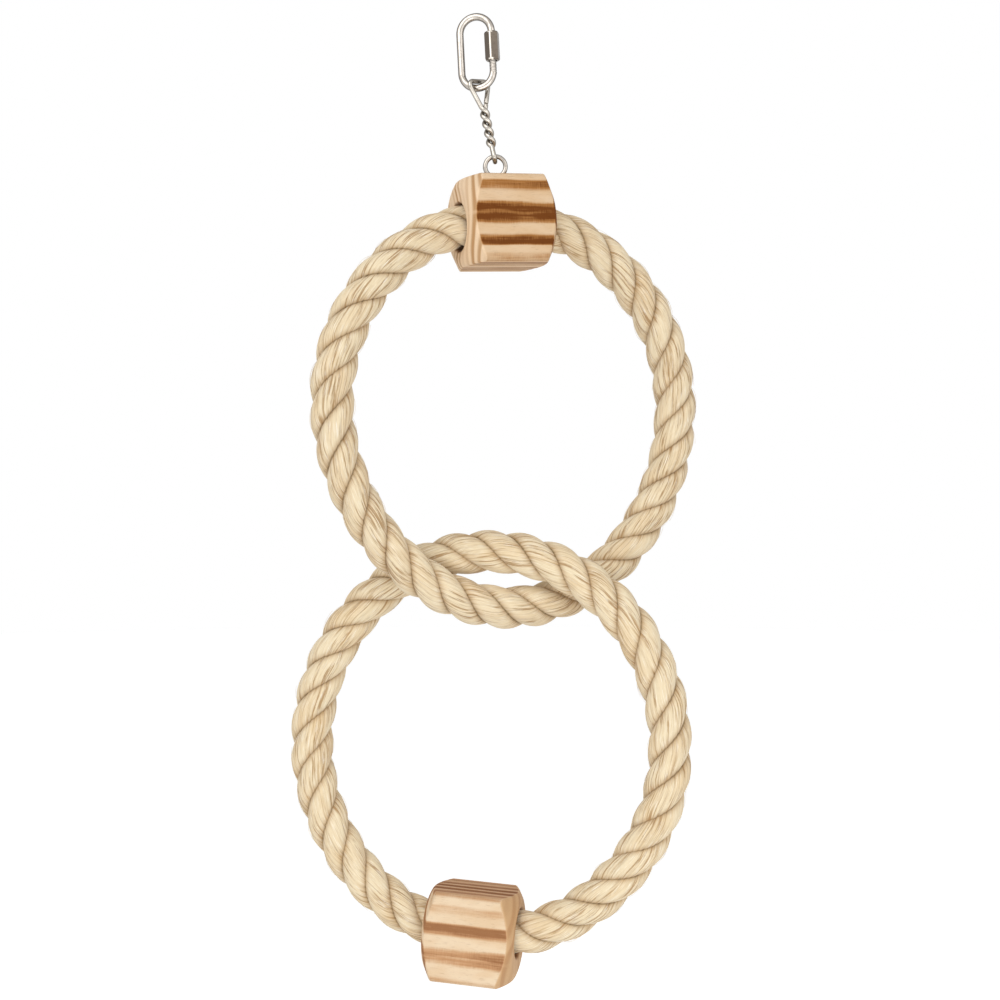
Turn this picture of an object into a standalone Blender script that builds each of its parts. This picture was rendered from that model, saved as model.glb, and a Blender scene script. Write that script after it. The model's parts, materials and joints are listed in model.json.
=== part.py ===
"""Rope ring bird toy: two linked rings of laid rope, each closed by a wooden block, hung from a quick link.

Metres, +Z up, +Y away from the viewer. The origin is the point inside the top of the quick link
where the bar or hook that carries the toy bears.
"""

import math
from typing import NamedTuple

import bmesh
import bpy
import numpy as np
from mathutils import Euler, Matrix, Vector

# Clearance left between pieces that touch, seat or run in each other.
FIT_GAP = 0.0003

# Quick link: a bent wire with a gate in its right leg, closed by a hexagon sleeve nut.
LINK_LENGTH = 0.0365
LINK_WIDTH = 0.0185
LINK_WIRE = 0.0034
LINK_GATE = 0.0040
LINK_YAW = math.radians(-15.0)
LINK_LEAN = math.radians(3.0)
NUT_LENGTH = 0.0135
NUT_ACROSS_FLATS = 0.0062
NUT_CHAMFER = 0.0007
NUT_GRIP = 0.0012

# Hanger: one wire bent to a wide top loop, twisted on itself and closed in a small bottom loop.
HANGER_WIRE = 0.0022
HANGER_LENGTH = 0.0380
HANGER_LOOP_WIDTH = 0.0140
HANGER_LOOP_HEIGHT = 0.0125
HANGER_BEND = 0.0022
HANGER_BUTT = 0.0020
HANGER_NECK = 0.0042
HANGER_HALF_TURNS = 4
HANGER_YAW = math.radians(45.0)
HANGER_LEAN = math.radians(12.0)

# Screw eye in the upper block.
EYE_WIRE = 0.0021
EYE_OUTSIDE = 0.0115
EYE_SHANK = 0.0120
EYE_POINT = 0.0030
EYE_TIP = 0.25
EYE_START = math.radians(-66.0)
EYE_TURN_IN = math.radians(77.0)
EYE_SIDE_SHIFT = -0.0015

# Rope: three round strands, laid right-handed.
ROPE_DIAMETER = 0.0200
ROPE_LAY = 0.0490
STRANDS = 3
STRAND_GAP = 0.0006
ROPE_END_GAP = 0.0040

# Rings, measured to the middle of the rope. The taper narrows a ring away from its block.
UPPER_HALF_WIDTH = 0.0845
UPPER_HALF_HEIGHT = 0.0883
UPPER_TAPER = 0.063
LOWER_HALF_WIDTH = 0.0841
LOWER_HALF_HEIGHT = 0.0868
LOWER_TAPER = 0.018
RING_BEND_EASE = 0.0030
RING_GAP = 0.0062
RING_CLEARANCE = 0.0004
RING_SIDE_SHIFT = -0.0107
RING_TURN_STEP = math.radians(0.5)
UPPER_YAW = math.radians(20.0)
UPPER_ROLL = math.radians(-3.0)
LOWER_PITCH = math.radians(-3.0)
LOWER_ROLL = math.radians(3.5)

# Blocks: square section, ends turned to a soft cone, bored for the rope.
BLOCK_LENGTH = 0.0420
BLOCK_SECTION = 0.0400
BLOCK_EDGE = 0.0030
BLOCK_END_RADIUS = 0.0172
BLOCK_END_CONE = 0.0065
BORE_CLEARANCE = 0.0006
BORE_MOUTH = 0.0008
ROPE_DROP = 0.0015

# Nails that hold the rope ends, driven from the back of each block.
NAIL_DIAMETER = 0.0018
NAIL_LENGTH = 0.0350
NAIL_HEAD_DIAMETER = 0.0038
NAIL_HEAD_HEIGHT = 0.0009
NAIL_SPACING = 0.0220

# Facets.
ARC_STEP = math.radians(15.0)
TURNED_SEGMENTS = 24
HOLE_SEGMENTS = 16
STATIONS_PER_LAY = 9
PATH_SAMPLES = 720
LEG_SHARE = 0.45
SHARP_ANGLE = math.radians(35.0)
WELD_DISTANCE = 1e-7

# Base colour, metallic and roughness of each material.
MATERIALS = {
    "nickel_plated_wire": ((0.40, 0.375, 0.34), 1.0, 0.24),
    "nickel_plated_nut": ((0.46, 0.43, 0.39), 1.0, 0.20),
    "bent_steel_wire": ((0.36, 0.34, 0.31), 1.0, 0.30),
    "zinc_screw_eye": ((0.36, 0.345, 0.32), 1.0, 0.32),
    "laid_rope": ((0.80, 0.65, 0.39), 0.0, 0.95),
    "scorched_pine_dark": ((0.58, 0.36, 0.19), 0.0, 0.75),
    "scorched_pine_light": ((0.68, 0.46, 0.26), 0.0, 0.75),
    "bright_nail": ((0.45, 0.44, 0.42), 1.0, 0.36),
}


class Ring(NamedTuple):
    """The form of one ring's middle line."""

    half_width: float
    half_height: float
    taper: float


UPPER_RING = Ring(UPPER_HALF_WIDTH, UPPER_HALF_HEIGHT, UPPER_TAPER)
LOWER_RING = Ring(LOWER_HALF_WIDTH, LOWER_HALF_HEIGHT, LOWER_TAPER)


def clear_scene():
    """Removes every object of the open scene."""
    for obj in list(bpy.data.objects):
        bpy.data.objects.remove(obj, do_unlink=True)


def material(name):
    """The named Principled material, made on first use."""
    made = bpy.data.materials.get(name)
    if made:
        return made
    colour, metallic, roughness = MATERIALS[name]
    made = bpy.data.materials.new(name)
    made.use_nodes = True
    shader = made.node_tree.nodes["Principled BSDF"]
    shader.inputs["Base Color"].default_value = (*colour, 1.0)
    shader.inputs["Metallic"].default_value = metallic
    shader.inputs["Roughness"].default_value = roughness
    return made


def add_object(name, data, frame=None):
    """Links an object that holds the data, placed in its frame."""
    obj = bpy.data.objects.new(name, data)
    bpy.context.scene.collection.objects.link(obj)
    obj.parent = frame
    return obj


def add_frame(name, matrix, parent=None):
    """An empty on a joint's axis, given in world terms, that carries the pieces of one moving body."""
    frame = add_object(name, None, parent)
    frame.empty_display_size = 0.01
    if parent:
        frame.matrix_parent_inverse = parent.matrix_world.inverted()
    frame.matrix_basis = matrix
    bpy.context.view_layer.update()
    return frame


def placed(location, pitch=0.0, roll=0.0, yaw=0.0):
    """The matrix of a frame that is pitched about X, rolled about Y and turned about Z."""
    return Matrix.Translation(location) @ Euler((pitch, roll, yaw)).to_matrix().to_4x4()


def arc(centre, radius, start, end, across=Vector((1, 0, 0)), up=Vector((0, 0, 1))):
    """Points of an arc in the plane of two directions, from one angle to another."""
    steps = max(2, math.ceil(abs(end - start) / ARC_STEP))
    points = []
    for step in range(steps + 1):
        angle = start + (end - start) * step / steps
        points.append(centre + radius * (math.cos(angle) * across + math.sin(angle) * up))
    return points


def rounded(corners, radius):
    """A polyline whose inner corners are bent round at the radius."""
    points = [corners[0]]
    for before, corner, after in zip(corners, corners[1:], corners[2:]):
        back = (before - corner).normalized()
        on = (after - corner).normalized()
        half = back.angle(on) / 2
        shorter = min((before - corner).length, (after - corner).length)
        reach = min(radius / math.tan(half), LEG_SHARE * shorter)
        inside = (back + on).normalized()
        centre = corner + inside * reach / math.cos(half)
        bend = reach * math.tan(half)
        turn = math.pi - 2 * half
        steps = max(2, math.ceil(turn / ARC_STEP))
        side = (on - back).normalized()
        for step in range(steps + 1):
            angle = -turn / 2 + turn * step / steps
            points.append(centre + bend * (math.sin(angle) * side - math.cos(angle) * inside))
    points.append(corners[-1])
    return points


def wire(name, points, diameter, frame, finish, rounds=2):
    """A round wire along the points, with closed ends."""
    curve = bpy.data.curves.new(name, "CURVE")
    curve.dimensions = "3D"
    spline = curve.splines.new("POLY")
    spline.points.add(len(points) - 1)
    for target, point in zip(spline.points, points):
        target.co = (*point, 1.0)
    spline.use_smooth = True
    curve.bevel_depth = diameter / 2
    curve.bevel_resolution = rounds
    curve.use_fill_caps = True
    curve.materials.append(material(finish))
    return add_object(name, curve, frame)


def finish_mesh(name, mesh, frame, finish):
    """Turns a closed bmesh into an object, shaded smooth up to its sharp edges."""
    bmesh.ops.recalc_face_normals(mesh, faces=mesh.faces)
    data = bpy.data.meshes.new(name)
    mesh.to_mesh(data)
    mesh.free()
    data.shade_smooth()
    data.set_sharp_from_angle(angle=SHARP_ANGLE)
    if finish:
        data.materials.append(material(finish))
    return add_object(name, data, frame)


def turned(name, profile, frame, finish=None, segments=TURNED_SEGMENTS, axis="Z"):
    """Spins a profile of (radius, height) points, from axis to axis, about Z or another axis."""
    mesh = bmesh.new()
    verts = [mesh.verts.new((radius, 0, height)) for radius, height in profile]
    edges = [mesh.edges.new(pair) for pair in zip(verts, verts[1:])]
    bmesh.ops.spin(
        mesh, geom=verts + edges, cent=(0, 0, 0), axis=(0, 0, 1), angle=2 * math.pi, steps=segments
    )
    bmesh.ops.remove_doubles(mesh, verts=mesh.verts, dist=WELD_DISTANCE)
    turns = {
        "X": Matrix.Rotation(math.pi / 2, 3, "Y"),
        "Y": Matrix.Rotation(-math.pi / 2, 3, "X"),
        "Z": Matrix.Identity(3),
    }
    bmesh.ops.rotate(mesh, verts=mesh.verts, cent=(0, 0, 0), matrix=turns[axis])
    return finish_mesh(name, mesh, frame, finish)


def cut(target, tool, operation="DIFFERENCE"):
    """Applies a tool to a target with a Boolean, and keeps the tool as a hidden wire helper."""
    tool.hide_render = True
    tool.display_type = "WIRE"
    modifier = target.modifiers.new(tool.name, "BOOLEAN")
    modifier.object = tool
    modifier.operation = operation


def hole(target, name, frame, radius, start, end, axis="Z", centre=(0, 0, 0)):
    """Bores a round hole in the target between two heights on an axis."""
    profile = [(0, end), (radius, end), (radius, start), (0, start)]
    tool = turned(name, profile, frame, segments=HOLE_SEGMENTS, axis=axis)
    tool.location = centre
    cut(target, tool)


def link_heights():
    """Heights in the quick link of its arch centres, of the closed nut's top and of its lower end."""
    arch = (LINK_WIDTH - LINK_WIRE) / 2
    top = LINK_WIRE / 2 - arch
    bottom = 1.5 * LINK_WIRE - LINK_LENGTH + arch
    nut_top = top - FIT_GAP
    return arch, top, bottom, nut_top


def quick_link(frame):
    """The bent body, from its short upper end round to the longer lower end that carries the open nut."""
    arch, top, bottom, nut_top = link_heights()
    upper_end = Vector((arch, 0, nut_top - NUT_GRIP))
    lower_end = Vector((arch, 0, nut_top - NUT_GRIP - LINK_GATE))
    points = [upper_end]
    points += arc(Vector((0, 0, top)), arch, 0, math.pi)
    points += arc(Vector((0, 0, bottom)), arch, math.pi, 2 * math.pi)
    points.append(lower_end)
    wire("quick_link_body", points, LINK_WIRE, frame, "nickel_plated_wire", rounds=3)


def sleeve_nut(frame):
    """The hexagon sleeve, with turned chamfers, that bridges the gate. The frame is at its top end."""
    mesh = bmesh.new()
    corner = NUT_ACROSS_FLATS / math.sqrt(3)
    bmesh.ops.create_cone(
        mesh, cap_ends=True, segments=6, radius1=corner, radius2=corner, depth=NUT_LENGTH
    )
    bmesh.ops.translate(mesh, verts=mesh.verts, vec=(0, 0, -NUT_LENGTH / 2))
    nut = finish_mesh("quick_link_nut", mesh, frame, "nickel_plated_nut")
    barrel = corner - NUT_CHAMFER
    profile = [
        (0, FIT_GAP),
        (barrel - FIT_GAP, FIT_GAP),
        (corner + FIT_GAP, -NUT_CHAMFER - FIT_GAP),
        (corner + FIT_GAP, -NUT_LENGTH + NUT_CHAMFER + FIT_GAP),
        (barrel - FIT_GAP, -NUT_LENGTH - FIT_GAP),
        (0, -NUT_LENGTH - FIT_GAP),
    ]
    cut(nut, turned("nut_chamfers", profile, frame), "INTERSECT")
    hole(nut, "nut_bore", frame, LINK_WIRE / 2 + FIT_GAP, -2 * NUT_LENGTH, NUT_LENGTH)


def hanger_tip():
    """Half width of the bottom loop, which passes round the screw eye's wire."""
    return (EYE_WIRE + HANGER_WIRE) / 2 + FIT_GAP


def hanger(frame):
    """One wire: right leg, top bar, left leg, down the twist, round the bottom loop and up to the leg's end."""
    core = (HANGER_WIRE + FIT_GAP) / 2
    tip = hanger_tip()
    tip_height = tip - HANGER_LENGTH
    twist_end = tip_height + HANGER_NECK
    twist_start = -HANGER_LOOP_HEIGHT
    turn = math.pi / 2 - HANGER_YAW + HANGER_HALF_TURNS * math.pi
    steps = math.ceil(turn / (2 * ARC_STEP))

    def strand(share, side):
        """A point of the twisted pair, at a share of its length from the top, on one side."""
        angle = HANGER_YAW + turn * share
        height = twist_start + (twist_end - twist_start) * share
        return Vector((side * core * math.cos(angle), side * core * math.sin(angle), height))

    across = Vector((math.cos(HANGER_YAW), math.sin(HANGER_YAW), 0))
    corner = across * HANGER_LOOP_WIDTH / 2
    down = [strand(step / steps, -1) for step in range(steps + 1)]
    loop = arc(Vector((0, 0, tip_height)), tip, math.pi, 2 * math.pi, across=Vector((0, 1, 0)))
    if down[-1].y > 0:
        loop.reverse()
    up = [strand(1 - step / steps, 1) for step in range(steps + 1)]
    leg = (corner - up[-1]).normalized()
    butt = up[-1] + leg * HANGER_BUTT
    top = rounded([butt + leg * FIT_GAP, corner, -corner, down[0], down[1]], HANGER_BEND)
    foot = rounded([up[-2], up[-1], butt], HANGER_BEND)
    wire("hanger_wire", top[:-1] + down[1:] + loop + up[:-2] + foot, HANGER_WIRE, frame, "bent_steel_wire")


def eye_radius():
    """Radius of the screw eye's ring, at the middle of its wire."""
    return (EYE_OUTSIDE - EYE_WIRE) / 2


def eye_fillet():
    """Radius of the bend where the screw eye's ring runs into its shank."""
    return eye_radius() * math.cos(EYE_TURN_IN) / (1 - math.cos(EYE_TURN_IN))


def eye_drop():
    """Height from the screw eye's ring centre down to the start of its straight shank."""
    return (eye_radius() + eye_fillet()) * math.sin(EYE_TURN_IN)


def screw_eye(frame):
    """A wire ring that bends into a pointed shank, turned square to the loop it hangs on."""
    fillet = eye_fillet()
    top = -eye_drop()
    points = arc(Vector(), eye_radius(), EYE_START, math.pi + EYE_TURN_IN)
    points += arc(Vector((-fillet, 0, top)), fillet, EYE_TURN_IN, 0)[1:]
    points.append(Vector((0, 0, top - EYE_SHANK + EYE_POINT)))
    points.append(Vector((0, 0, top - EYE_SHANK)))
    eye = wire("screw_eye", points, EYE_WIRE, frame, "zinc_screw_eye")
    eye.data.splines[0].points[-1].radius = EYE_TIP
    eye.rotation_euler.z = -UPPER_YAW


def strand_radius():
    """The thickest round strand of which the rope's strands lie side by side with the strand gap."""
    turn = np.linspace(0, math.pi / 2, 181)
    thin, thick = 0.0, ROPE_DIAMETER / 2
    while thick - thin > WELD_DISTANCE:
        radius = (thin + thick) / 2
        helix = ROPE_DIAMETER / 2 - radius
        spread = 2 * helix**2 * (1 - np.cos(2 * math.pi / STRANDS - turn))
        apart = np.sqrt(spread + (ROPE_LAY * turn / (2 * math.pi)) ** 2).min()
        if apart < 2 * radius + STRAND_GAP:
            thick = radius
        else:
            thin = radius
    return thin


def ring_line(ring, start=0.0):
    """Points of a ring's middle line in its own XZ plane, clockwise from right of the top.

    It is straight inside the block, and bends to an oval, narrower away from the block, outside it.
    """
    angle = np.linspace(start, 2 * math.pi - start, PATH_SAMPLES)
    across = ring.half_width * np.sin(angle) * (1 + ring.taper * np.cos(angle))
    mouth = math.sqrt(1 - (BLOCK_LENGTH / 2 / ring.half_width) ** 2)
    shoulder = (1 - mouth) / mouth**4 * np.clip(np.cos(angle), 0, None) ** 4
    curved = ring.half_height * (np.cos(angle) + shoulder)
    share = np.clip(1 - np.abs(curved - ring.half_height) / RING_BEND_EASE, 0, None)
    up = np.minimum(curved, ring.half_height) - share**2 * RING_BEND_EASE / 4
    return np.stack([across, 0 * angle, up], axis=1)


def rope_stations(ring):
    """Points, outward normals and distances along the rope's middle, from one end to the other."""
    line = ring_line(ring, ROPE_END_GAP / 2 / ring.half_width)
    length = np.concatenate([[0], np.cumsum(np.linalg.norm(np.diff(line, axis=0), axis=1))])
    along = np.linspace(0, length[-1], round(length[-1] / ROPE_LAY * STATIONS_PER_LAY) + 1)
    middle = np.stack([np.interp(along, length, line[:, axis]) for axis in range(3)], axis=1)
    tangent = np.gradient(middle, axis=0)
    outward = np.stack([-tangent[:, 2], 0 * along, tangent[:, 0]], axis=1)
    return [(Vector(point), Vector(out).normalized(), far) for point, out, far in zip(middle, outward, along)]


def rope(name, ring, frame, nail_tools):
    """The strands of one ring, each a helix about the ring's middle line, pierced for the nails."""
    radius = strand_radius()
    helix = ROPE_DIAMETER / 2 - radius
    away = Vector((0, 1, 0))
    for number in range(STRANDS):
        points = []
        for middle, outward, distance in rope_stations(ring):
            angle = 2 * math.pi * (distance / ROPE_LAY + number / STRANDS)
            points.append(middle + helix * (math.cos(angle) * outward - math.sin(angle) * away))
        guide = wire(f"{name}_guide", points, 2 * radius, None, "laid_rope")
        evaluated = guide.evaluated_get(bpy.context.evaluated_depsgraph_get())
        mesh = bmesh.new()
        mesh.from_mesh(bpy.data.meshes.new_from_object(evaluated))
        bpy.data.objects.remove(guide, do_unlink=True)
        bmesh.ops.remove_doubles(mesh, verts=mesh.verts, dist=WELD_DISTANCE)
        strand = finish_mesh(f"{name}_strand_{number + 1}", mesh, frame, "laid_rope")
        for tool in nail_tools:
            cut(strand, tool)


def block_height(ring):
    """Height of a block's middle above its ring's centre: the bore lies a little nearer to that centre."""
    return ring.half_height + ROPE_DROP


def bore_height(ring):
    """Height of the bore's axis above the ring's centre, midway in the rope's sag at the mouths."""
    return ring.half_height - RING_BEND_EASE / 8


def bore_radius():
    """Radius of the bore that lets the rope through, down to where it starts to bend at the mouths."""
    return ROPE_DIAMETER / 2 + RING_BEND_EASE / 8 + BORE_CLEARANCE


def wooden_block(name, ring, frame, finish):
    """A square block with rounded long edges, turned ends and a bore with eased mouths."""
    height = block_height(ring)
    mesh = bmesh.new()
    bmesh.ops.create_cube(mesh, size=1.0)
    bmesh.ops.scale(mesh, verts=mesh.verts, vec=(BLOCK_LENGTH, BLOCK_SECTION, BLOCK_SECTION))
    long_edges = [edge for edge in mesh.edges if edge.verts[0].co.x * edge.verts[1].co.x < 0]
    bmesh.ops.bevel(mesh, geom=long_edges, offset=BLOCK_EDGE, segments=3, profile=0.5, affect="EDGES")
    bmesh.ops.translate(mesh, verts=mesh.verts, vec=(0, 0, height))
    block = finish_mesh(name, mesh, frame, finish)
    corner = BLOCK_SECTION / math.sqrt(2)
    half = BLOCK_LENGTH / 2
    rim = BLOCK_END_RADIUS - FIT_GAP * (corner - BLOCK_END_RADIUS) / BLOCK_END_CONE
    profile = [
        (0, half + FIT_GAP),
        (rim, half + FIT_GAP),
        (corner, half - BLOCK_END_CONE),
        (corner, BLOCK_END_CONE - half),
        (rim, -half - FIT_GAP),
        (0, -half - FIT_GAP),
    ]
    ends = turned(f"{name}_turned_ends", profile, frame, axis="X")
    ends.location.z = height
    cut(block, ends, "INTERSECT")
    bore = bore_radius()
    mouth = bore + 2 * BORE_MOUTH
    profile = [
        (0, half + BORE_MOUTH),
        (mouth, half + BORE_MOUTH),
        (bore, half - BORE_MOUTH),
        (bore, BORE_MOUTH - half),
        (mouth, -half - BORE_MOUTH),
        (0, -half - BORE_MOUTH),
    ]
    tool = turned(f"{name}_bore", profile, frame, axis="X")
    tool.location.z = bore_height(ring)
    cut(block, tool)
    return block


def nails(name, block, ring, frame):
    """Two nails through the rope ends, heads flush in the block's back. Returns their seats' tools."""
    tools = []
    for side, sign in (("left", -1), ("right", 1)):
        place = Vector((sign * NAIL_SPACING / 2, BLOCK_SECTION / 2, ring.half_height))
        shank = NAIL_DIAMETER / 2
        head = NAIL_HEAD_DIAMETER / 2
        profile = [
            (0, 0),
            (head, 0),
            (head, -NAIL_HEAD_HEIGHT),
            (shank, -NAIL_HEAD_HEIGHT),
            (shank, NAIL_DIAMETER - NAIL_LENGTH),
            (0, -NAIL_LENGTH),
        ]
        nail = turned(f"{name}_nail_{side}", profile, frame, "bright_nail", HOLE_SEGMENTS, "Y")
        nail.location = place
        seat = [
            (0, NAIL_HEAD_HEIGHT),
            (head + FIT_GAP, NAIL_HEAD_HEIGHT),
            (head + FIT_GAP, -NAIL_HEAD_HEIGHT - FIT_GAP),
            (shank + FIT_GAP, -NAIL_HEAD_HEIGHT - FIT_GAP),
            (shank + FIT_GAP, -NAIL_LENGTH - FIT_GAP),
            (0, -NAIL_LENGTH - FIT_GAP),
        ]
        tool = turned(f"{name}_nail_seat_{side}", seat, frame, segments=HOLE_SEGMENTS, axis="Y")
        tool.location = place
        cut(block, tool)
        tools.append(tool)
    return tools


def ring_points(ring, matrix):
    """World points of a ring's middle line."""
    return ring_line(ring) @ np.array(matrix.to_3x3()).T + np.array(matrix.translation)


def lower_ring_matrix(upper_centre):
    """Where the lower ring hangs: turned from the upper one until the ropes just clear where they cross."""
    upper = ring_points(UPPER_RING, upper_centre)
    drop = UPPER_HALF_HEIGHT + LOWER_HALF_HEIGHT * math.cos(LOWER_PITCH) - ROPE_DIAMETER - RING_GAP
    lean = LOWER_HALF_HEIGHT * math.sin(LOWER_PITCH)
    centre = upper_centre.translation + Vector((RING_SIDE_SHIFT, lean, -drop))
    flip = Matrix.Rotation(math.pi, 4, "Y")
    yaw = UPPER_YAW
    apart = 0.0
    while apart < ROPE_DIAMETER + RING_CLEARANCE:
        yaw -= RING_TURN_STEP
        matrix = placed(centre, LOWER_PITCH, LOWER_ROLL, yaw)
        lower = ring_points(LOWER_RING, matrix @ flip)
        apart = min(np.linalg.norm(upper - point, axis=1).min() for point in lower)
    return matrix


def build():
    """Models the toy from the hang point down."""
    clear_scene()
    arch, _, bottom, nut_top = link_heights()
    link_frame = add_frame("quick_link_frame", placed((0, 0, 0), 0, -LINK_LEAN, LINK_YAW))
    quick_link(link_frame)
    nut_place = link_frame.matrix_world @ Matrix.Translation((arch, 0, nut_top))
    sleeve_nut(add_frame("link_nut_frame", nut_place, link_frame))

    bar_height = bottom - arch + (LINK_WIRE + HANGER_WIRE) / 2 + FIT_GAP
    bar_place = link_frame.matrix_world @ Vector((0, 0, bar_height))
    hanger_frame = add_frame("hanger_frame", placed(bar_place, 0, -HANGER_LEAN, 0), link_frame)
    hanger(hanger_frame)

    tip_place = hanger_frame.matrix_world @ Vector((0, 0, -HANGER_LENGTH))
    sway_frame = add_frame("upper_ring_frame", placed(tip_place, 0, UPPER_ROLL, UPPER_YAW), hanger_frame)
    eye_frame = add_object("screw_eye_frame", None, sway_frame)
    eye_frame.location.z = hanger_tip() - eye_radius()
    screw_eye(eye_frame)
    block_top = eye_frame.location.z - eye_drop() - FIT_GAP
    block_middle = block_top - BLOCK_SECTION / 2
    upper_frame = add_object("upper_ring_centre", None, sway_frame)
    upper_frame.location = (-EYE_SIDE_SHIFT, 0, block_middle - block_height(UPPER_RING))
    bpy.context.view_layer.update()
    upper_block = wooden_block("upper_block", UPPER_RING, upper_frame, "scorched_pine_dark")
    top = block_height(UPPER_RING) + BLOCK_SECTION / 2
    eye_hole = (EYE_WIRE / 2 + FIT_GAP, top - EYE_SHANK - FIT_GAP, top + EYE_WIRE)
    hole(upper_block, "eye_hole", upper_frame, *eye_hole, centre=(EYE_SIDE_SHIFT, 0, 0))
    tools = nails("upper_rope", upper_block, UPPER_RING, upper_frame)
    rope("upper_rope", UPPER_RING, upper_frame, tools)

    turn_frame = add_frame("lower_ring_frame", lower_ring_matrix(upper_frame.matrix_world), sway_frame)
    lower_frame = add_object("lower_ring_centre", None, turn_frame)
    lower_frame.rotation_euler.y = math.pi
    lower_block = wooden_block("lower_block", LOWER_RING, lower_frame, "scorched_pine_light")
    tools = nails("lower_rope", lower_block, LOWER_RING, lower_frame)
    rope("lower_rope", LOWER_RING, lower_frame, tools)


build()
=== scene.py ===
"""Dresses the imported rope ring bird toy: laid rope, scorched pine blocks and bright wire fittings.

Metres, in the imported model's own frame: +Z up, +Y away from the viewer, origin at the hang point.
"""

import enum
import json
import logging
import math
from collections.abc import Callable, Sequence
from dataclasses import dataclass

import bmesh
import bpy
import numpy as np
from mathutils import Euler, Matrix, Vector


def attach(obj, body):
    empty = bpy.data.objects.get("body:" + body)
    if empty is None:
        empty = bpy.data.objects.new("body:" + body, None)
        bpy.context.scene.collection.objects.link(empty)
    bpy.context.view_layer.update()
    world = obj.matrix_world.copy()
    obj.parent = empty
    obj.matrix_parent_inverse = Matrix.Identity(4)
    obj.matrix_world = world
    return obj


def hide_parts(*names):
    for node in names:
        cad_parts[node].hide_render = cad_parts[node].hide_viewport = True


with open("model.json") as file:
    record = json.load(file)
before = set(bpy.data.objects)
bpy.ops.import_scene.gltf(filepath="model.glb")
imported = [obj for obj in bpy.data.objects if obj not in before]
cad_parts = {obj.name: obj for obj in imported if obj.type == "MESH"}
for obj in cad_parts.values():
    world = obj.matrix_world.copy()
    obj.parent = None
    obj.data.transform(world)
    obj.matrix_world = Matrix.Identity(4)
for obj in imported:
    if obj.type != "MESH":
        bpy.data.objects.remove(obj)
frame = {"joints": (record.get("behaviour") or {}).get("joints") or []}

LOG = logging.getLogger("rope_ring_toy")

# Shared with the source of the solids.
FIT_GAP = 0.0003
BLOCK_LENGTH = 0.0420
EYE_SIDE_SHIFT = -0.0015
UPPER_YAW = math.radians(20.0)
LOWER_YAW = math.radians(-11.0)

# How finely wire is bent, and how far its cut ends are eased.
ARC_STEP = math.radians(3.0)
BEND_STEP = math.radians(4.0)
TWIST_STEP = math.radians(5.0)
LONGEST_BEND_SHARE = 0.45
SNIPPED = 0.0003

FULL_TURN = 2 * math.pi
MILLIMETRES = 1000.0
WELD_DISTANCE = 1e-7
TURNED_SEGMENTS = 40
FACE_CORNERS = 4
RIGHT = Vector((1, 0, 0))
BACK = Vector((0, 1, 0))
UP = Vector((0, 0, 1))
WHITE = (1.0, 1.0, 1.0)

# Steps that spread numbered things evenly between 0 and 1.
SPREAD_STEPS = np.array([0.6180, 0.7549, 0.5698, 0.3247])

Array = np.ndarray
BMesh = bmesh.types.BMesh
Material = bpy.types.Material
Socket = bpy.types.NodeSocket
Sockets = bpy.types.NodeOutputs
Colour = tuple[float, float, float]
Place = tuple[float, float, float]
Span = tuple[float, float]
Value = float | Sequence[float] | Socket
Inputs = dict[str, Value] | dict[int, Value]
RadiusAt = Callable[[Array, Array], Array]


class Body(enum.Enum):
    """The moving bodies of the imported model."""

    QUICK_LINK = "quick_link"
    LINK_NUT = "link_nut"
    HANGER = "hanger"
    UPPER_RING = "upper_ring"
    LOWER_RING = "lower_ring"


class Slot(enum.Enum):
    """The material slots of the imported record."""

    LINK = "nickel_plated_wire"
    NUT = "nickel_plated_nut"
    HANGER = "bent_steel_wire"
    EYE = "zinc_screw_eye"
    ROPE = "laid_rope"
    DARK_PINE = "scorched_pine_dark"
    LIGHT_PINE = "scorched_pine_light"
    NAIL = "bright_nail"


def placed(location: Vector, pitch: float, roll: float, yaw: float) -> Matrix:
    """Places a frame that is pitched about X, rolled about Y and turned about Z.

    Args:
        location: Where the frame's origin goes.
        pitch: Turn about X, in radians.
        roll: Turn about Y, in radians.
        yaw: Turn about Z, in radians.

    Returns:
        The frame's matrix.
    """
    return Matrix.Translation(location) @ Euler((pitch, roll, yaw)).to_matrix().to_4x4()


def joint_place(name: str) -> Vector:
    """The point that the named joint turns about."""
    return Vector(next(joint["pos_m"] for joint in frame["joints"] if joint["name"] == name))


def unit(vectors: Array) -> Array:
    """Vectors scaled to a length of 1."""
    return vectors / np.linalg.norm(vectors, axis=-1, keepdims=True)


def smooth_minimum(first: Array, second: Array, blend: float) -> Array:
    """Takes the smaller of two values, rounded where they cross.

    Args:
        first: One set of values.
        second: The other set.
        blend: How far apart the two may be and still be rounded.

    Returns:
        The blended minimum.
    """
    share = np.clip(blend - np.abs(first - second), 0, None) / blend
    return np.minimum(first, second) - share**2 * blend / 4


def eased(value: Array, low: float, high: float) -> Array:
    """Rises smoothly from 0 at the low value to 1 at the high one.

    Args:
        value: The values to ease.
        low: Where the rise starts.
        high: Where it ends.

    Returns:
        The eased values.
    """
    share = np.clip((value - low) / (high - low), 0, 1)
    return share * share * (3 - 2 * share)


def arc_points(centre: Vector, radius: float, start: float, end: float, across: Vector) -> list[Vector]:
    """Close points of an upright arc.

    Args:
        centre: The arc's centre.
        radius: Its radius.
        start: Its first angle, in radians.
        end: Its last angle.
        across: The level direction of its plane.

    Returns:
        The points.
    """
    steps = max(2, math.ceil(abs(end - start) / ARC_STEP))
    angles = [start + (end - start) * step / steps for step in range(steps + 1)]
    return [centre + radius * (math.cos(angle) * across + math.sin(angle) * UP) for angle in angles]


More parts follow.
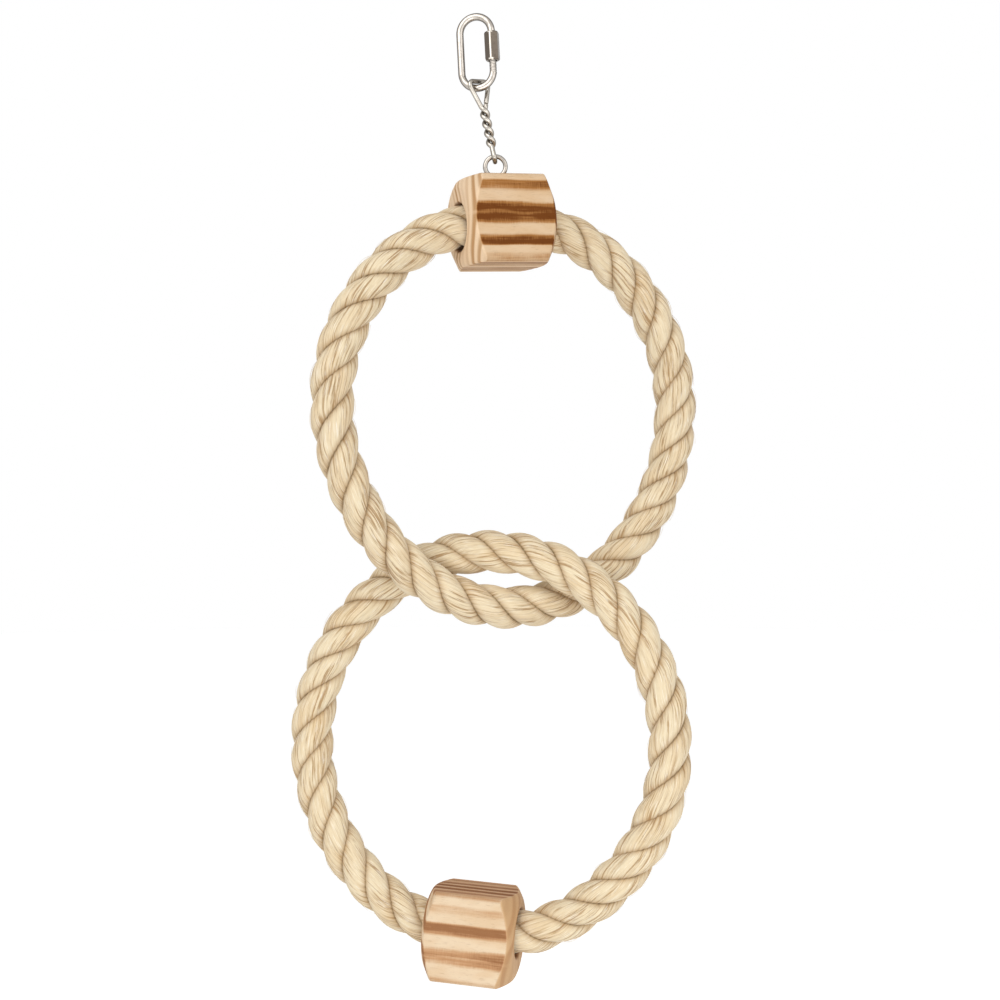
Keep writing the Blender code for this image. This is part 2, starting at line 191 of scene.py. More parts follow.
def bent_points(corners: Sequence[Vector], radius: float) -> list[Vector]:
    """Bends a polyline round at its inner corners.

    Args:
        corners: The polyline.
        radius: The bend radius, smaller where a leg is too short for it.

    Returns:
        Points of the bent line.
    """
    points = [corners[0]]
    for before, corner, after in zip(corners, corners[1:], corners[2:]):
        back = (before - corner).normalized()
        on = (after - corner).normalized()
        half = back.angle(on) / 2
        shorter = min((before - corner).length, (after - corner).length)
        reach = min(radius / math.tan(half), LONGEST_BEND_SHARE * shorter)
        inside = (back + on).normalized()
        side = (on - back).normalized()
        centre = corner + inside * reach / math.cos(half)
        bend = reach * math.tan(half)
        turn = math.pi - 2 * half
        steps = max(2, math.ceil(turn / BEND_STEP))
        for step in range(steps + 1):
            angle = -turn / 2 + turn * step / steps
            points.append(centre + bend * (math.sin(angle) * side - math.cos(angle) * inside))
    points.append(corners[-1])
    return points


def distances(line: Sequence[Vector] | Array) -> Array:
    """How far along a line each of its points is."""
    steps = np.diff(np.array(line), axis=0)
    return np.concatenate([[0], np.cumsum(np.linalg.norm(steps, axis=1))])


def line_at(stations: Array, known: Array, line: Array) -> Array:
    """Points of a line between the known ones.

    Args:
        stations: Where the points are wanted.
        known: The rising stations of the line's own points.
        line: Those points.

    Returns:
        The points.
    """
    return np.stack([np.interp(stations, known, line[:, axis]) for axis in range(3)], axis=1)


def evenly_spaced(points: Sequence[Vector], step: float) -> tuple[Array, Array]:
    """Divides a polyline into equal steps.

    Args:
        points: The polyline.
        step: About how far apart the new points are.

    Returns:
        The new points, and the distance of each along the line.
    """
    line = np.array(points)
    known = distances(line)
    along = np.linspace(0, known[-1], math.ceil(known[-1] / step) + 1)
    return line_at(along, known, line), along


def untwisted_frames(line: Array) -> tuple[Array, Array]:
    """Carries a pair of normals along a line without twisting them.

    Args:
        line: Points of the line.

    Returns:
        The two normals at each point.
    """
    tangents = unit(np.gradient(line, axis=0))
    spare = np.eye(3)[np.argmin(np.abs(tangents[0]))]
    normal = np.cross(tangents[0], spare)
    normals = []
    for tangent in tangents:
        normal = unit(normal - tangent * (normal @ tangent))
        normals.append(normal)
    return np.array(normals), np.cross(tangents, np.array(normals))


def full_turn(sides: int) -> Array:
    """Angles of a full turn, the last of which is the first again."""
    turn = np.linspace(0, FULL_TURN, sides + 1)
    turn[-1] = 0.0
    return turn


def spokes(turn: Array, first: Array, second: Array) -> Array:
    """Arrows round a line, at angles from the first of its two normals to the second.

    Args:
        turn: The angles, for each column, or for each row and column.
        first: One normal of the line for each row.
        second: The other normals.

    Returns:
        The arrows, as an array of rows by columns by 3.
    """
    return np.cos(turn)[..., None] * first[:, None] + np.sin(turn)[..., None] * second[:, None]


def new_mesh() -> BMesh:
    """An empty mesh with a UV map."""
    mesh = bmesh.new()
    mesh.loops.layers.uv.new("UVMap")
    return mesh


def wrap_grid(mesh: BMesh, points: Array) -> None:
    """Adds a grid and wraps it over rows of points, welding the sides that meet.

    Args:
        mesh: The mesh to add to.
        points: Rows of points, as an array of rows by columns by 3.
    """
    rows, columns = points.shape[0] - 1, points.shape[1] - 1
    made = bmesh.ops.create_grid(mesh, x_segments=rows, y_segments=columns, size=1.0, calc_uvs=True)
    for vert in made["verts"]:
        row = round((vert.co.x + 1) / 2 * rows)
        column = round((vert.co.y + 1) / 2 * columns)
        vert.co = points[row, column]
    bmesh.ops.remove_doubles(mesh, verts=made["verts"], dist=WELD_DISTANCE)


def close_ends(mesh: BMesh) -> None:
    """Fills the open ends of tubes."""
    bmesh.ops.holes_fill(mesh, edges=[edge for edge in mesh.edges if edge.is_boundary], sides=0)


def wire_mesh(points: Sequence[Vector], step: float, sides: int, radius_at: RadiusAt) -> BMesh:
    """A round wire along a line.

    Args:
        points: The line's points.
        step: About how far apart its rings are.
        sides: How many sides each ring has.
        radius_at: Gives the radius from the distance along the wire and the angle round it.

    Returns:
        The closed mesh.
    """
    line, along = evenly_spaced(points, step)
    turn = full_turn(sides)
    radius = radius_at(along[:, None], turn[None, :])[:, :, None]
    mesh = new_mesh()
    wrap_grid(mesh, line[:, None] + radius * spokes(turn, *untwisted_frames(line)))
    close_ends(mesh)
    return mesh


def turned_mesh(profile: Sequence[Span]) -> BMesh:
    """Spins a profile about Z.

    Args:
        profile: Radius and height of each point, from the axis and back to it.

    Returns:
        The closed mesh.
    """
    mesh = new_mesh()
    verts = [mesh.verts.new((radius, 0, height)) for radius, height in profile]
    edges = [mesh.edges.new(pair) for pair in zip(verts, verts[1:])]
    bmesh.ops.spin(
        mesh,
        geom=verts + edges,
        cent=(0, 0, 0),
        axis=(0, 0, 1),
        angle=FULL_TURN,
        steps=TURNED_SEGMENTS,
        use_merge=True,
    )
    bmesh.ops.remove_doubles(mesh, verts=mesh.verts, dist=WELD_DISTANCE)
    return mesh


def mesh_data(name: str, mesh: BMesh) -> bpy.types.Mesh:
    """Turns a bmesh into mesh data and frees it."""
    data = bpy.data.meshes.new(name)
    mesh.to_mesh(data)
    mesh.free()
    return data


def in_scene(name: str, data: bpy.types.ID) -> bpy.types.Object:
    """A new object in the scene that shows the data."""
    made = bpy.data.objects.new(name, data)
    bpy.context.scene.collection.objects.link(made)
    return made


def add_piece(name: str, mesh: BMesh, matrix: Matrix) -> bpy.types.Object:
    """Turns a mesh into an object at the origin, with its place in its mesh.

    Args:
        name: The piece's name.
        mesh: The closed mesh, in its own frame. It is freed.
        matrix: Where that frame is.

    Returns:
        The object.
    """
    bmesh.ops.recalc_face_normals(mesh, faces=mesh.faces)
    bmesh.ops.transform(mesh, matrix=matrix, verts=mesh.verts)
    data = mesh_data(name, mesh)
    data.shade_smooth()
    return in_scene(name, data)


def settle(
    piece: bpy.types.Object, body: Body, nodes: Sequence[str], finish: Material
) -> None:
    """Makes a piece stand for its CAD nodes, ride on their body and take its finish.

    Args:
        piece: The finished piece.
        body: The body that it moves with.
        nodes: The CAD nodes that it replaces.
        finish: Its material.
    """
    piece.data.materials.clear()
    piece.data.materials.append(finish)
    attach(piece, body.value)
    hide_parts(*nodes)
    LOG.info("%s on %s, for %s", piece.name, body.value, ", ".join(nodes))


def float_attribute(data: bpy.types.Mesh, name: str, values: Array) -> None:
    """Stores one number per vertex for a material to read."""
    layer = data.attributes.new(name, "FLOAT", "POINT")
    layer.data.foreach_set("value", values.astype(np.float32))


def local_places(data: bpy.types.Mesh, place: Matrix) -> Array:
    """The places of a mesh's vertices in a frame.

    Args:
        data: The mesh.
        place: The frame.

    Returns:
        A row for each vertex.
    """
    places = np.empty(len(data.vertices) * 3, np.float32)
    data.vertices.foreach_get("co", places)
    back = place.inverted()
    turned = places.reshape(-1, 3).astype(float) @ np.array(back.to_3x3()).T
    return turned + np.array(back.translation)


class Wiring:
    """Adds nodes to one node tree and links them."""

    def __init__(self, tree: bpy.types.NodeTree) -> None:
        """Takes the tree to work on."""
        self.tree = tree

    def add(self, kind: str, inputs: Inputs | None = None, **settings: object) -> bpy.types.Node:
        """Adds a node.

        Args:
            kind: The node's type.
            inputs: Values or sockets for its inputs, by name or number.
            settings: Its properties.

        Returns:
            The node.
        """
        node = self.tree.nodes.new(kind)
        for name, setting in settings.items():
            setattr(node, name, setting)
        self.fill(node, inputs or {})
        return node

    def fill(self, node: bpy.types.Node, inputs: Inputs) -> None:
        """Feeds inputs of a node, by name or number."""
        for name, value in inputs.items():
            self.feed(node.inputs[name], value)

    def feed(self, socket: Socket, value: Value) -> None:
        """Links a socket to another, or sets its value, with a full alpha where that is a colour."""
        if isinstance(value, Socket):
            self.tree.links.new(value, socket)
        else:
            socket.default_value = (*value, 1.0) if socket.type == "RGBA" else value

    def math(self, operation: str, *values: Value) -> Socket:
        """The result of a Math node."""
        return self.add("ShaderNodeMath", dict(enumerate(values)), operation=operation).outputs[0]

    def product(self, value: Value, *others: Value) -> Socket:
        """The product of several values."""
        for other in others:
            value = self.math("MULTIPLY", value, other)
        return value

    def plus(self, base: Value, value: Value, share: Value) -> Socket:
        """A share of a value, added to a base."""
        return self.math("MULTIPLY_ADD", value, share, base)

    def ease(self, value: Value, low: float, high: float) -> Socket:
        """A smooth rise from 0 to 1 between two values, or a fall where the first is the higher."""
        inputs = {"Value": value, "From Min": low, "From Max": high}
        return self.add("ShaderNodeMapRange", inputs, interpolation_type="SMOOTHSTEP").outputs[0]

    def between(self, value: Value, low: Value, high: Value) -> Socket:
        """A value from 0 to 1, spread between two others."""
        inputs = {"Value": value, "To Min": low, "To Max": high}
        return self.add("ShaderNodeMapRange", inputs).outputs[0]

    def mix(self, share: Value, first: Value, second: Value, blend: str = "MIX") -> Socket:
        """Mixes two colours.

        Args:
            share: How much of the second there is.
            first: The first colour.
            second: The second colour.
            blend: How the second is laid over the first.

        Returns:
            The mixed colour.
        """
        node = self.add("ShaderNodeMix", data_type="RGBA", blend_type=blend)
        values = {"Factor_Float": share, "A_Color": first, "B_Color": second}
        for socket in node.inputs:
            if socket.identifier in values:
                self.feed(socket, values[socket.identifier])
        return next(socket for socket in node.outputs if socket.identifier == "Result_Color")

    def stretched(self, place: Value, scale: Sequence[float]) -> Socket:
        """A place scaled by a different amount along each axis."""
        return self.add("ShaderNodeVectorMath", {0: place, 1: scale}, operation="MULTIPLY").outputs[0]

    def noise(self, place: Value, scale: Place, detail: float, roughness: float = 0.5) -> Socket:
        """A soft noise value.

        Args:
            place: The place to read it at.
            scale: How many lumps it has to a unit of length along each axis.
            detail: How many finer layers it has.
            roughness: How strong those are.

        Returns:
            The value.
        """
        vector = self.stretched(place, scale)
        inputs = {"Vector": vector, "Scale": 1.0, "Detail": detail, "Roughness": roughness}
        return self.add("ShaderNodeTexNoise", inputs).outputs[0]

    def moved(self, place: Value, distance: Value) -> Socket:
        """A place moved along Y, into another part of the noises."""
        inputs = {0: place, 1: self.joined(0.0, distance)}
        return self.add("ShaderNodeVectorMath", inputs, operation="ADD").outputs[0]

    def split(self, place: Value) -> Sockets:
        """The X, Y and Z of a place."""
        return self.add("ShaderNodeSeparateXYZ", {0: place}).outputs

    def joined(self, first: Value, second: Value, third: Value = 0.0) -> Socket:
        """A place from its X, Y and Z."""
        return self.add("ShaderNodeCombineXYZ", {0: first, 1: second, 2: third}).outputs[0]

    def attribute(self, name: str) -> Socket:
        """The number that a mesh stores for each of its vertices under a name."""
        return self.add("ShaderNodeAttribute", attribute_name=name).outputs["Fac"]

    def bump(self, height: Value, strength: float, distance: float) -> Socket:
        """A normal from a height."""
        inputs = {"Height": height, "Strength": strength, "Distance": distance}
        return self.add("ShaderNodeBump", inputs).outputs[0]


class SharedEffect:
    """A shader node group that several materials use, each with values of its own.

    Its inputs are one place and some numbers, and it puts out numbers.
    """

    name: str
    place: str
    numbers: tuple[str, ...]

    def lay_out(self, wiring: Wiring, given: Sockets) -> dict[str, Socket]:
        """Builds the inside of the group.

        Args:
            wiring: The group's tree.
            given: The group's inputs.

        Returns:
            The socket behind each of its outputs.
        """
        raise NotImplementedError

    def tree(self) -> bpy.types.NodeTree:
        """The group's tree, built on first use."""
        made = bpy.data.node_groups.get(self.name)
        if made:
            return made
        made = bpy.data.node_groups.new(self.name, "ShaderNodeTree")
        made.interface.new_socket(self.place, in_out="INPUT", socket_type="NodeSocketVector")
        for name in self.numbers:
            made.interface.new_socket(name, in_out="INPUT", socket_type="NodeSocketFloat")
        wiring = Wiring(made)
        results = self.lay_out(wiring, wiring.add("NodeGroupInput").outputs)
        for name in results:
            made.interface.new_socket(name, in_out="OUTPUT", socket_type="NodeSocketFloat")
        wiring.add("NodeGroupOutput", results)
        return made

    def put_in(self, wiring: Wiring, values: dict[str, Value]) -> Sockets:
        """Places the group in a material.

        Args:
            wiring: The material's tree.
            values: The group's inputs.

        Returns:
            The group's outputs.
        """
        return wiring.add("ShaderNodeGroup", values, node_tree=self.tree()).outputs


class GrowthRings(SharedEffect):
    """Yearly rings of a board, bent towards its front face and straight along X, in millimetres."""

    name = "growth_rings"
    place = "Place"
    numbers = ("Spacing", "Bend", "Middle", "Front", "Phase", "Taper", "Wander", "Tree")

    drift_scale = (0.030, 0.06, 0.06)
    tick_scale = (1.4, 0.16, 0.16)
    pore_scale = (0.28, 4.2, 4.2)
    grain_scale = (0.045, 1.1, 1.1)
    saw_scale = (3.2, 0.25, 0.25)
    mottle_scale = (0.06, 0.16, 0.16)
    tick_share = 0.022
    false_ring_wander = 6.0
    false_ring_width = (1.3, 0.1)
    false_ring_fade = (1.0, 0.66)
    wet_years = (-0.55, 1.5)
    growth_base = 0.56
    growth_share = 0.44

    def lay_out(self, wiring: Wiring, given: Sockets) -> dict[str, Socket]:
        """Builds the inside of the group.

        Args:
            wiring: The group's tree.
            given: The group's inputs.

        Returns:
            The socket behind each of its outputs.
        """
        shifted = wiring.moved(given["Place"], given["Tree"])
        drift = wiring.math("SUBTRACT", wiring.noise(shifted, self.drift_scale, 1.0), 0.5)
        ticks = wiring.math("SUBTRACT", wiring.noise(shifted, self.tick_scale, 2.0, 0.6), 0.5)
        axes = wiring.split(given["Place"])
        deep = wiring.math("SUBTRACT", axes[1], given["Front"])
        high = wiring.math("SUBTRACT", axes[2], given["Middle"])
        bent = wiring.plus(wiring.product(given["Bend"], given["Bend"]), high, high)
        bent = wiring.math("SUBTRACT", wiring.math("SQRT", bent), given["Bend"])
        year = wiring.math("DIVIDE", wiring.math("SUBTRACT", bent, deep), given["Spacing"])
        year = wiring.math("ADD", year, given["Phase"])
        year = wiring.plus(year, drift, given["Wander"])
        year = wiring.plus(year, ticks, self.tick_share)
        year = wiring.plus(year, axes[0], given["Taper"])
        season = wiring.math("FRACT", year)
        rise = wiring.ease(season, 0.20, 0.62)
        fall = wiring.ease(season, 1.0, 0.78)
        false_ring = wiring.math("ABSOLUTE", wiring.plus(high, drift, self.false_ring_wander))
        fade = wiring.between(wiring.ease(false_ring, *self.false_ring_width), *self.false_ring_fade)
        start, step = self.wet_years
        wet = wiring.math("COSINE", wiring.plus(start, wiring.math("FLOOR", year), step))
        growth = wiring.plus(self.growth_base, wet, self.growth_share)
        pores = wiring.noise(shifted, self.pore_scale, 3.0, 0.6)
        return {
            "Late Wood": wiring.product(rise, wiring.product(fall, fade), growth),
            "Pores": wiring.ease(pores, 0.56, 0.74),
            "Grain": wiring.noise(shifted, self.grain_scale, 3.0, 0.6),
            "Saw Marks": wiring.noise(shifted, self.saw_scale, 2.0),
            "Mottle": wiring.noise(shifted, self.mottle_scale, 3.0),
        }


class LaidFibres(SharedEffect):
    """Yarns and loose fibres of a laid rope.

    They run along the U of its map, and V runs once round all its strands.
    """

    name = "laid_fibres"
    place = "Map"
    numbers = ("Length", "Yarns", "Bale")

    streak_scale = (0.085, 2.1, 1.0)
    rare_scale = (0.055, 0.45, 1.0)
    fine_scale = (0.20, 6.5, 1.0)
    patch_scale = (0.045, 0.20, 1.0)

    def lay_out(self, wiring: Wiring, given: Sockets) -> dict[str, Socket]:
        """Builds the inside of the group.

        Args:
            wiring: The group's tree.
            given: The group's inputs.

        Returns:
            The socket behind each of its outputs.
        """
        axes = wiring.split(given["Map"])
        along = wiring.product(axes[0], given["Length"])
        across = wiring.product(axes[1], given["Yarns"])
        seed = wiring.joined(wiring.math("FLOOR", across), given["Bale"])
        tone = wiring.add("ShaderNodeTexWhiteNoise", {"Vector": seed}, noise_dimensions="3D")
        place = wiring.joined(along, across, given["Bale"])
        streaks = wiring.ease(wiring.noise(place, self.streak_scale, 3.0, 0.6), 0.49, 0.60)
        rare = wiring.ease(wiring.noise(place, self.rare_scale, 1.0), 0.38, 0.56)
        return {
            "Yarn Tone": tone.outputs[0],
            "Dark Fibres": wiring.product(streaks, rare),
            "Fine Fibres": wiring.noise(place, self.fine_scale, 4.0, 0.65),
            "Patches": wiring.noise(place, self.patch_scale, 2.0),
        }


class WireScuffs(SharedEffect):
    """Handling marks on plated wire, in millimetres: haze, fine drawn scratches and rubbed spots."""

    name = "wire_scuffs"
    place = "Place"
    numbers = ("Batch",)

    haze_scale = (0.35, 0.35, 0.35)
    scratch_scale = (6.0, 6.0, 0.9)
    rubbed_scale = (0.7, 0.7, 0.7)

    def lay_out(self, wiring: Wiring, given: Sockets) -> dict[str, Socket]:
        """Builds the inside of the group.

        Args:
            wiring: The group's tree.
            given: The group's inputs.

        Returns:
            The socket behind each of its outputs.
        """
        shifted = wiring.moved(given["Place"], given["Batch"])
        return {
            "Haze": wiring.noise(shifted, self.haze_scale, 4.0),
            "Scratches": wiring.noise(shifted, self.scratch_scale, 3.0, 0.7),
            "Rubbed": wiring.ease(wiring.noise(shifted, self.rubbed_scale, 2.0), 0.54, 0.70),
        }


def new_material(name: str) -> tuple[Wiring, bpy.types.Node, Material]:
    """Starts a material.

    Args:
        name: Its name.

    Returns:
        Its wiring, its Principled shader and the material.
    """
    made = bpy.data.materials.new(name)
    made.use_nodes = True
    return Wiring(made.node_tree), made.node_tree.nodes["Principled BSDF"], made


@dataclass(frozen=True)
class PlatedWire:
    """The finish of a bright wire fitting, with a painted reflection at its rims and, where it has one, a
    painted highlight.
    """

    name: str
    bright: Colour
    dull: Colour
    painted_rim_reflection: Colour
    roughness: float
    batch: float
    painted_highlight_colour: Colour | None = None
    haze_tone: float = 0.75
    rubbed_tone: float = 0.18
    painted_rim_span: Span = (0.09, 0.66)
    gloss_span: Span = (0.7, 1.35)
    rubbed_gloss: float = 0.10
    scratch_strength: float = 0.02
    scratch_depth: float = 0.00005

    def material(self) -> Material:
        """The finish as a material."""
        wiring, shader, made = new_material(self.name)
        place = wiring.add("ShaderNodeTexCoord").outputs["Object"]
        place = wiring.stretched(place, (MILLIMETRES,) * 3)
        marks = WireScuffs().put_in(wiring, {"Place": place, "Batch": self.batch})
        rubbed = wiring.product(marks["Rubbed"], self.rubbed_tone)
        colour = wiring.mix(wiring.plus(rubbed, marks["Haze"], self.haze_tone), self.bright, self.dull)
        # Painted reflection: the colour changes where the surface turns away from the view, standing for
        # surroundings mirrored at its edges.
        facing = wiring.add("ShaderNodeLayerWeight", {"Blend": 0.5}).outputs["Facing"]
        colour = wiring.mix(wiring.ease(facing, *self.painted_rim_span), colour, self.painted_rim_reflection)
        # Painted highlight, where the mesh marks one.
        if self.painted_highlight_colour:
            colour = wiring.mix(wiring.attribute("painted_highlight"), colour, self.painted_highlight_colour)
        low, high = self.gloss_span
        gloss = wiring.between(marks["Haze"], self.roughness * low, self.roughness * high)
        finish = {
            "Base Color": colour,
            "Roughness": wiring.plus(gloss, marks["Rubbed"], self.rubbed_gloss),
            "Normal": wiring.bump(marks["Scratches"], self.scratch_strength, self.scratch_depth),
            "Metallic": 1.0,
        }
        wiring.fill(shader, finish)
        return made


@dataclass(frozen=True)
class ScorchedPine:
    """The finish of a block that was flamed and brushed, and then faced, bored and turned at one end."""

    name: str
    pale: Colour
    warm: Colour
    amber: Colour
    toasted: Colour
    charred: Colour
    end_grain: Colour
    end_ring: Colour
    burn: float
    burn_above: float
    ticks: float
    flamed_side: float
    ring_spacing: float
    ring_bend: float
    ring_middle: float
    ring_phase: float
    front: float
    taper: float
    wander: float
    tree: float
    burn_change: Span = (8.5, 12.0)
    flamed_edge: Span = (17.6, 19.4)
    flamed_burn: Span = (0.46, 1.20)
    patchiness: Span = (0.45, 1.25)
    lines: Span = (0.30, 1.70)
    tick_middle: float = 0.98
    resin_share: float = 0.85
    soot: float = 0.35
    pore_shade: float = 0.30
    bore_shade: float = 0.6
    matt: Span = (0.58, 0.78)
    scorched_matt: float = 0.12
    ring_relief: float = 0.6
    saw_relief: float = 0.35
    pore_relief: float = -0.8
    relief_strength: float = 0.35
    relief_depth: float = 0.0002

    def rings(self, wiring: Wiring, place: Socket) -> Sockets:
        """The block's growth rings.

        Args:
            wiring: The material's tree.
            place: The place in the block's own frame, in millimetres.

        Returns:
            The outputs of their group.
        """
        values = {
            "Place": place,
            "Spacing": self.ring_spacing,
            "Bend": self.ring_bend,
            "Middle": self.ring_middle,
            "Front": self.front,
            "Phase": self.ring_phase,
            "Taper": self.taper,
            "Wander": self.wander,
            "Tree": self.tree,
        }
        return GrowthRings().put_in(wiring, values)

    def material(self, place: Matrix) -> Material:
        """The finish as a material.

        Args:
            place: The block's frame, which its rings follow.

        Returns:
            The material.
        """
        wiring, shader, made = new_material(self.name)
        mapping = {
            "Vector": wiring.add("ShaderNodeTexCoord").outputs["Object"],
            "Location": place.translation,
            "Rotation": place.to_euler(),
            "Scale": (1 / MILLIMETRES,) * 3,
        }
        local = wiring.add("ShaderNodeMapping", mapping, vector_type="TEXTURE").outputs[0]
        rings = self.rings(wiring, local)
        late = rings["Late Wood"]
        bare = wiring.math("MAXIMUM", wiring.attribute("turned"), wiring.attribute("faced"))
        skin = wiring.math("SUBTRACT", 1.0, bare)
        height = wiring.split(local)[2]
        flamed = wiring.ease(wiring.product(height, self.flamed_side), *self.flamed_edge)
        burn = wiring.between(wiring.ease(height, *self.burn_change), self.burn, self.burn_above)
        scorch = wiring.product(late, wiring.between(rings["Mottle"], *self.patchiness), burn)
        scorch = wiring.plus(scorch, flamed, wiring.between(late, *self.flamed_burn))
        weak, strong = self.tick_middle - self.ticks, self.tick_middle + self.ticks
        flecks = wiring.between(rings["Saw Marks"], weak, strong)
        scorch = wiring.product(scorch, flecks, wiring.between(rings["Grain"], *self.lines), skin)
        early = wiring.mix(wiring.ease(rings["Mottle"], 0.35, 0.68), self.pale, self.warm)
        early = wiring.mix(bare, early, self.end_grain)
        resin = wiring.mix(bare, self.amber, self.end_ring)
        wood = wiring.mix(wiring.product(late, self.resin_share), early, resin)
        wood = wiring.mix(wiring.ease(scorch, 0.08, 0.60), wood, self.toasted)
        wood = wiring.mix(wiring.ease(scorch, 0.45, 1.15), wood, self.charred)
        shades = (
            wiring.product(flamed, skin, late, self.soot),
            wiring.product(rings["Pores"], self.pore_shade),
            # Painted shade in the bore and at its mouths.
            wiring.product(wiring.attribute("bored"), self.bore_shade),
        )
        for shade in shades:
            wood = wiring.mix(shade, wood, self.charred, "MULTIPLY")
        matt = wiring.between(rings["Pores"], *self.matt)
        relief = wiring.product(rings["Saw Marks"], self.saw_relief)
        relief = wiring.plus(relief, late, self.ring_relief)
        relief = wiring.plus(relief, rings["Pores"], self.pore_relief)
        finish = {
            "Base Color": wood,
            "Roughness": wiring.plus(matt, scorch, self.scorched_matt),
            "Normal": wiring.bump(relief, self.relief_strength, self.relief_depth),
            "Specular IOR Level": 0.15,
        }
        wiring.fill(shader, finish)
        return made


@dataclass(frozen=True)
class NaturalRope:
    """The finish of a natural fibre rope, with painted shade down its strands' sides and in the grooves
    between them.
    """

    name: str
    bleach: Colour
    cream: Colour
    straw: Colour
    fibre_and_shade_brown: Colour
    groove_shade: Colour
    bale: float
    yarn_tone: float = 0.45
    straw_share: float = 0.7
    dark_share: float = 0.82
    fine_share: float = 0.30
    bleach_share: float = 0.85
    seam_share: float = 0.55
    shade_share: float = 0.52
    groove_shade_share: float = 0.82
    dark_relief: float = -0.5
    relief_strength: float = 0.55
    relief_depth: float = 0.0003

    def material(self, length: float, yarns: int) -> Material:
        """The finish as a material.

        Args:
            length: The rope's length, in metres.
            yarns: How many yarns show round all its strands together.

        Returns:
            The material.
        """
        wiring, shader, made = new_material(self.name)
        values = {
            "Map": wiring.add("ShaderNodeUVMap", uv_map="UVMap").outputs[0],
            "Length": MILLIMETRES * length,
            "Yarns": float(yarns),
            "Bale": self.bale,
        }
        fibres = LaidFibres().put_in(wiring, values)
        crest = wiring.attribute("crest")
        ridge = wiring.attribute("ridge")
        dark, fine, patches = fibres["Dark Fibres"], fibres["Fine Fibres"], fibres["Patches"]
        tone = wiring.plus(wiring.ease(patches, 0.38, 0.72), fibres["Yarn Tone"], self.yarn_tone)
        colour = wiring.mix(wiring.product(tone, self.straw_share), self.cream, self.straw)
        broken = wiring.product(wiring.ease(patches, 0.44, 0.68), self.seam_share)
        layers = (
            (wiring.product(dark, self.dark_share), self.fibre_and_shade_brown),
            (wiring.product(wiring.ease(fine, 0.50, 0.70), self.fine_share), self.fibre_and_shade_brown),
            (wiring.product(wiring.ease(fine, 0.47, 0.32), self.bleach_share), self.bleach),
            (wiring.product(wiring.ease(ridge, 0.45, 0.0), broken), self.fibre_and_shade_brown),
            # Painted shade: the strands darken down their sides towards the grooves, and a darker colour
            # paints the shade in the grooves themselves.
            (wiring.product(wiring.ease(crest, 0.84, 0.34), self.shade_share), self.fibre_and_shade_brown),
            (wiring.product(wiring.ease(crest, 0.50, 0.24), self.groove_shade_share), self.groove_shade),
        )
        for share, tint in layers:
            colour = wiring.mix(share, colour, tint)
        relief = wiring.plus(fine, dark, self.dark_relief)
        finish = {
            "Base Color": colour,
            "Roughness": wiring.between(fine, 0.80, 0.98),
            "Normal": wiring.bump(relief, self.relief_strength, self.relief_depth),
            "Specular IOR Level": 0.2,
            "Sheen Weight": 0.12,
            "Sheen Roughness": 0.6,
        }
        wiring.fill(shader, finish)
        return made


LINK_WIRE = PlatedWire(
    name="bright_nickel_wire",
    bright=(0.70, 0.65, 0.59),
    dull=(0.24, 0.205, 0.17),
    painted_rim_reflection=(0.045, 0.036, 0.028),
    roughness=0.16,
    batch=1.0,
)
# Painted shade: the nut's base colours are kept dark, standing for the darker things its flats reflect;
# its front edge takes a painted highlight.
LINK_NUT = PlatedWire(
    name="bright_nickel_nut",
    bright=(0.16, 0.132, 0.105),
    dull=(0.095, 0.077, 0.061),
    painted_rim_reflection=(0.15, 0.125, 0.10),
    roughness=0.18,
    batch=7.0,
    painted_highlight_colour=(0.84, 0.78, 0.69),
)
HANGER_WIRE = PlatedWire(
    name="drawn_steel_wire",
    bright=(0.64, 0.60, 0.54),
    dull=(0.32, 0.285, 0.24),
    painted_rim_reflection=(0.15, 0.128, 0.10),
    roughness=0.20,
    batch=13.0,
)
EYE_WIRE = PlatedWire(
    name="zinc_plated_eye",
    bright=(0.62, 0.57, 0.51),
    dull=(0.25, 0.22, 0.185),
    painted_rim_reflection=(0.08, 0.067, 0.053),
    roughness=0.24,
    batch=19.0,
)
BRIGHT_NAIL = PlatedWire(
    name="bright_steel_nail",
    bright=(0.54, 0.53, 0.51),
    dull=(0.36, 0.35, 0.33),
    painted_rim_reflection=(0.25, 0.24, 0.22),
    roughness=0.36,
    batch=29.0,
)
UPPER_ROPE = NaturalRope(
    name="natural_rope_upper",
    bleach=(0.91, 0.85, 0.74),
    cream=(0.805, 0.68, 0.47),
    straw=(0.73, 0.56, 0.345),
    fibre_and_shade_brown=(0.36, 0.205, 0.08),
    groove_shade=(0.165, 0.10, 0.027),
    bale=3.0,
)
LOWER_ROPE = NaturalRope(
    name="natural_rope_lower",
    bleach=(0.93, 0.87, 0.76),
    cream=(0.815, 0.695, 0.485),
    straw=(0.75, 0.58, 0.355),
    fibre_and_shade_brown=(0.39, 0.225, 0.09),
    groove_shade=(0.18, 0.11, 0.03),
    bale=11.0,
)
DARK_PINE = ScorchedPine(
    name="scorched_pine_upper",
    pale=(0.695, 0.505, 0.325),
    warm=(0.66, 0.455, 0.27),
    amber=(0.49, 0.255, 0.085),
    toasted=(0.38, 0.165, 0.045),
    charred=(0.15, 0.042, 0.004),
    end_grain=(0.82, 0.61, 0.405),
    end_ring=(0.40, 0.19, 0.055),
    burn=1.70,
    burn_above=1.04,
    ticks=0.46,
    flamed_side=0.0,
    ring_spacing=4.3,
    ring_bend=20.0,
    ring_middle=2.0,
    ring_phase=0.80,
    front=-20.0,
    taper=0.0006,
    wander=0.20,
    tree=4.0,
)
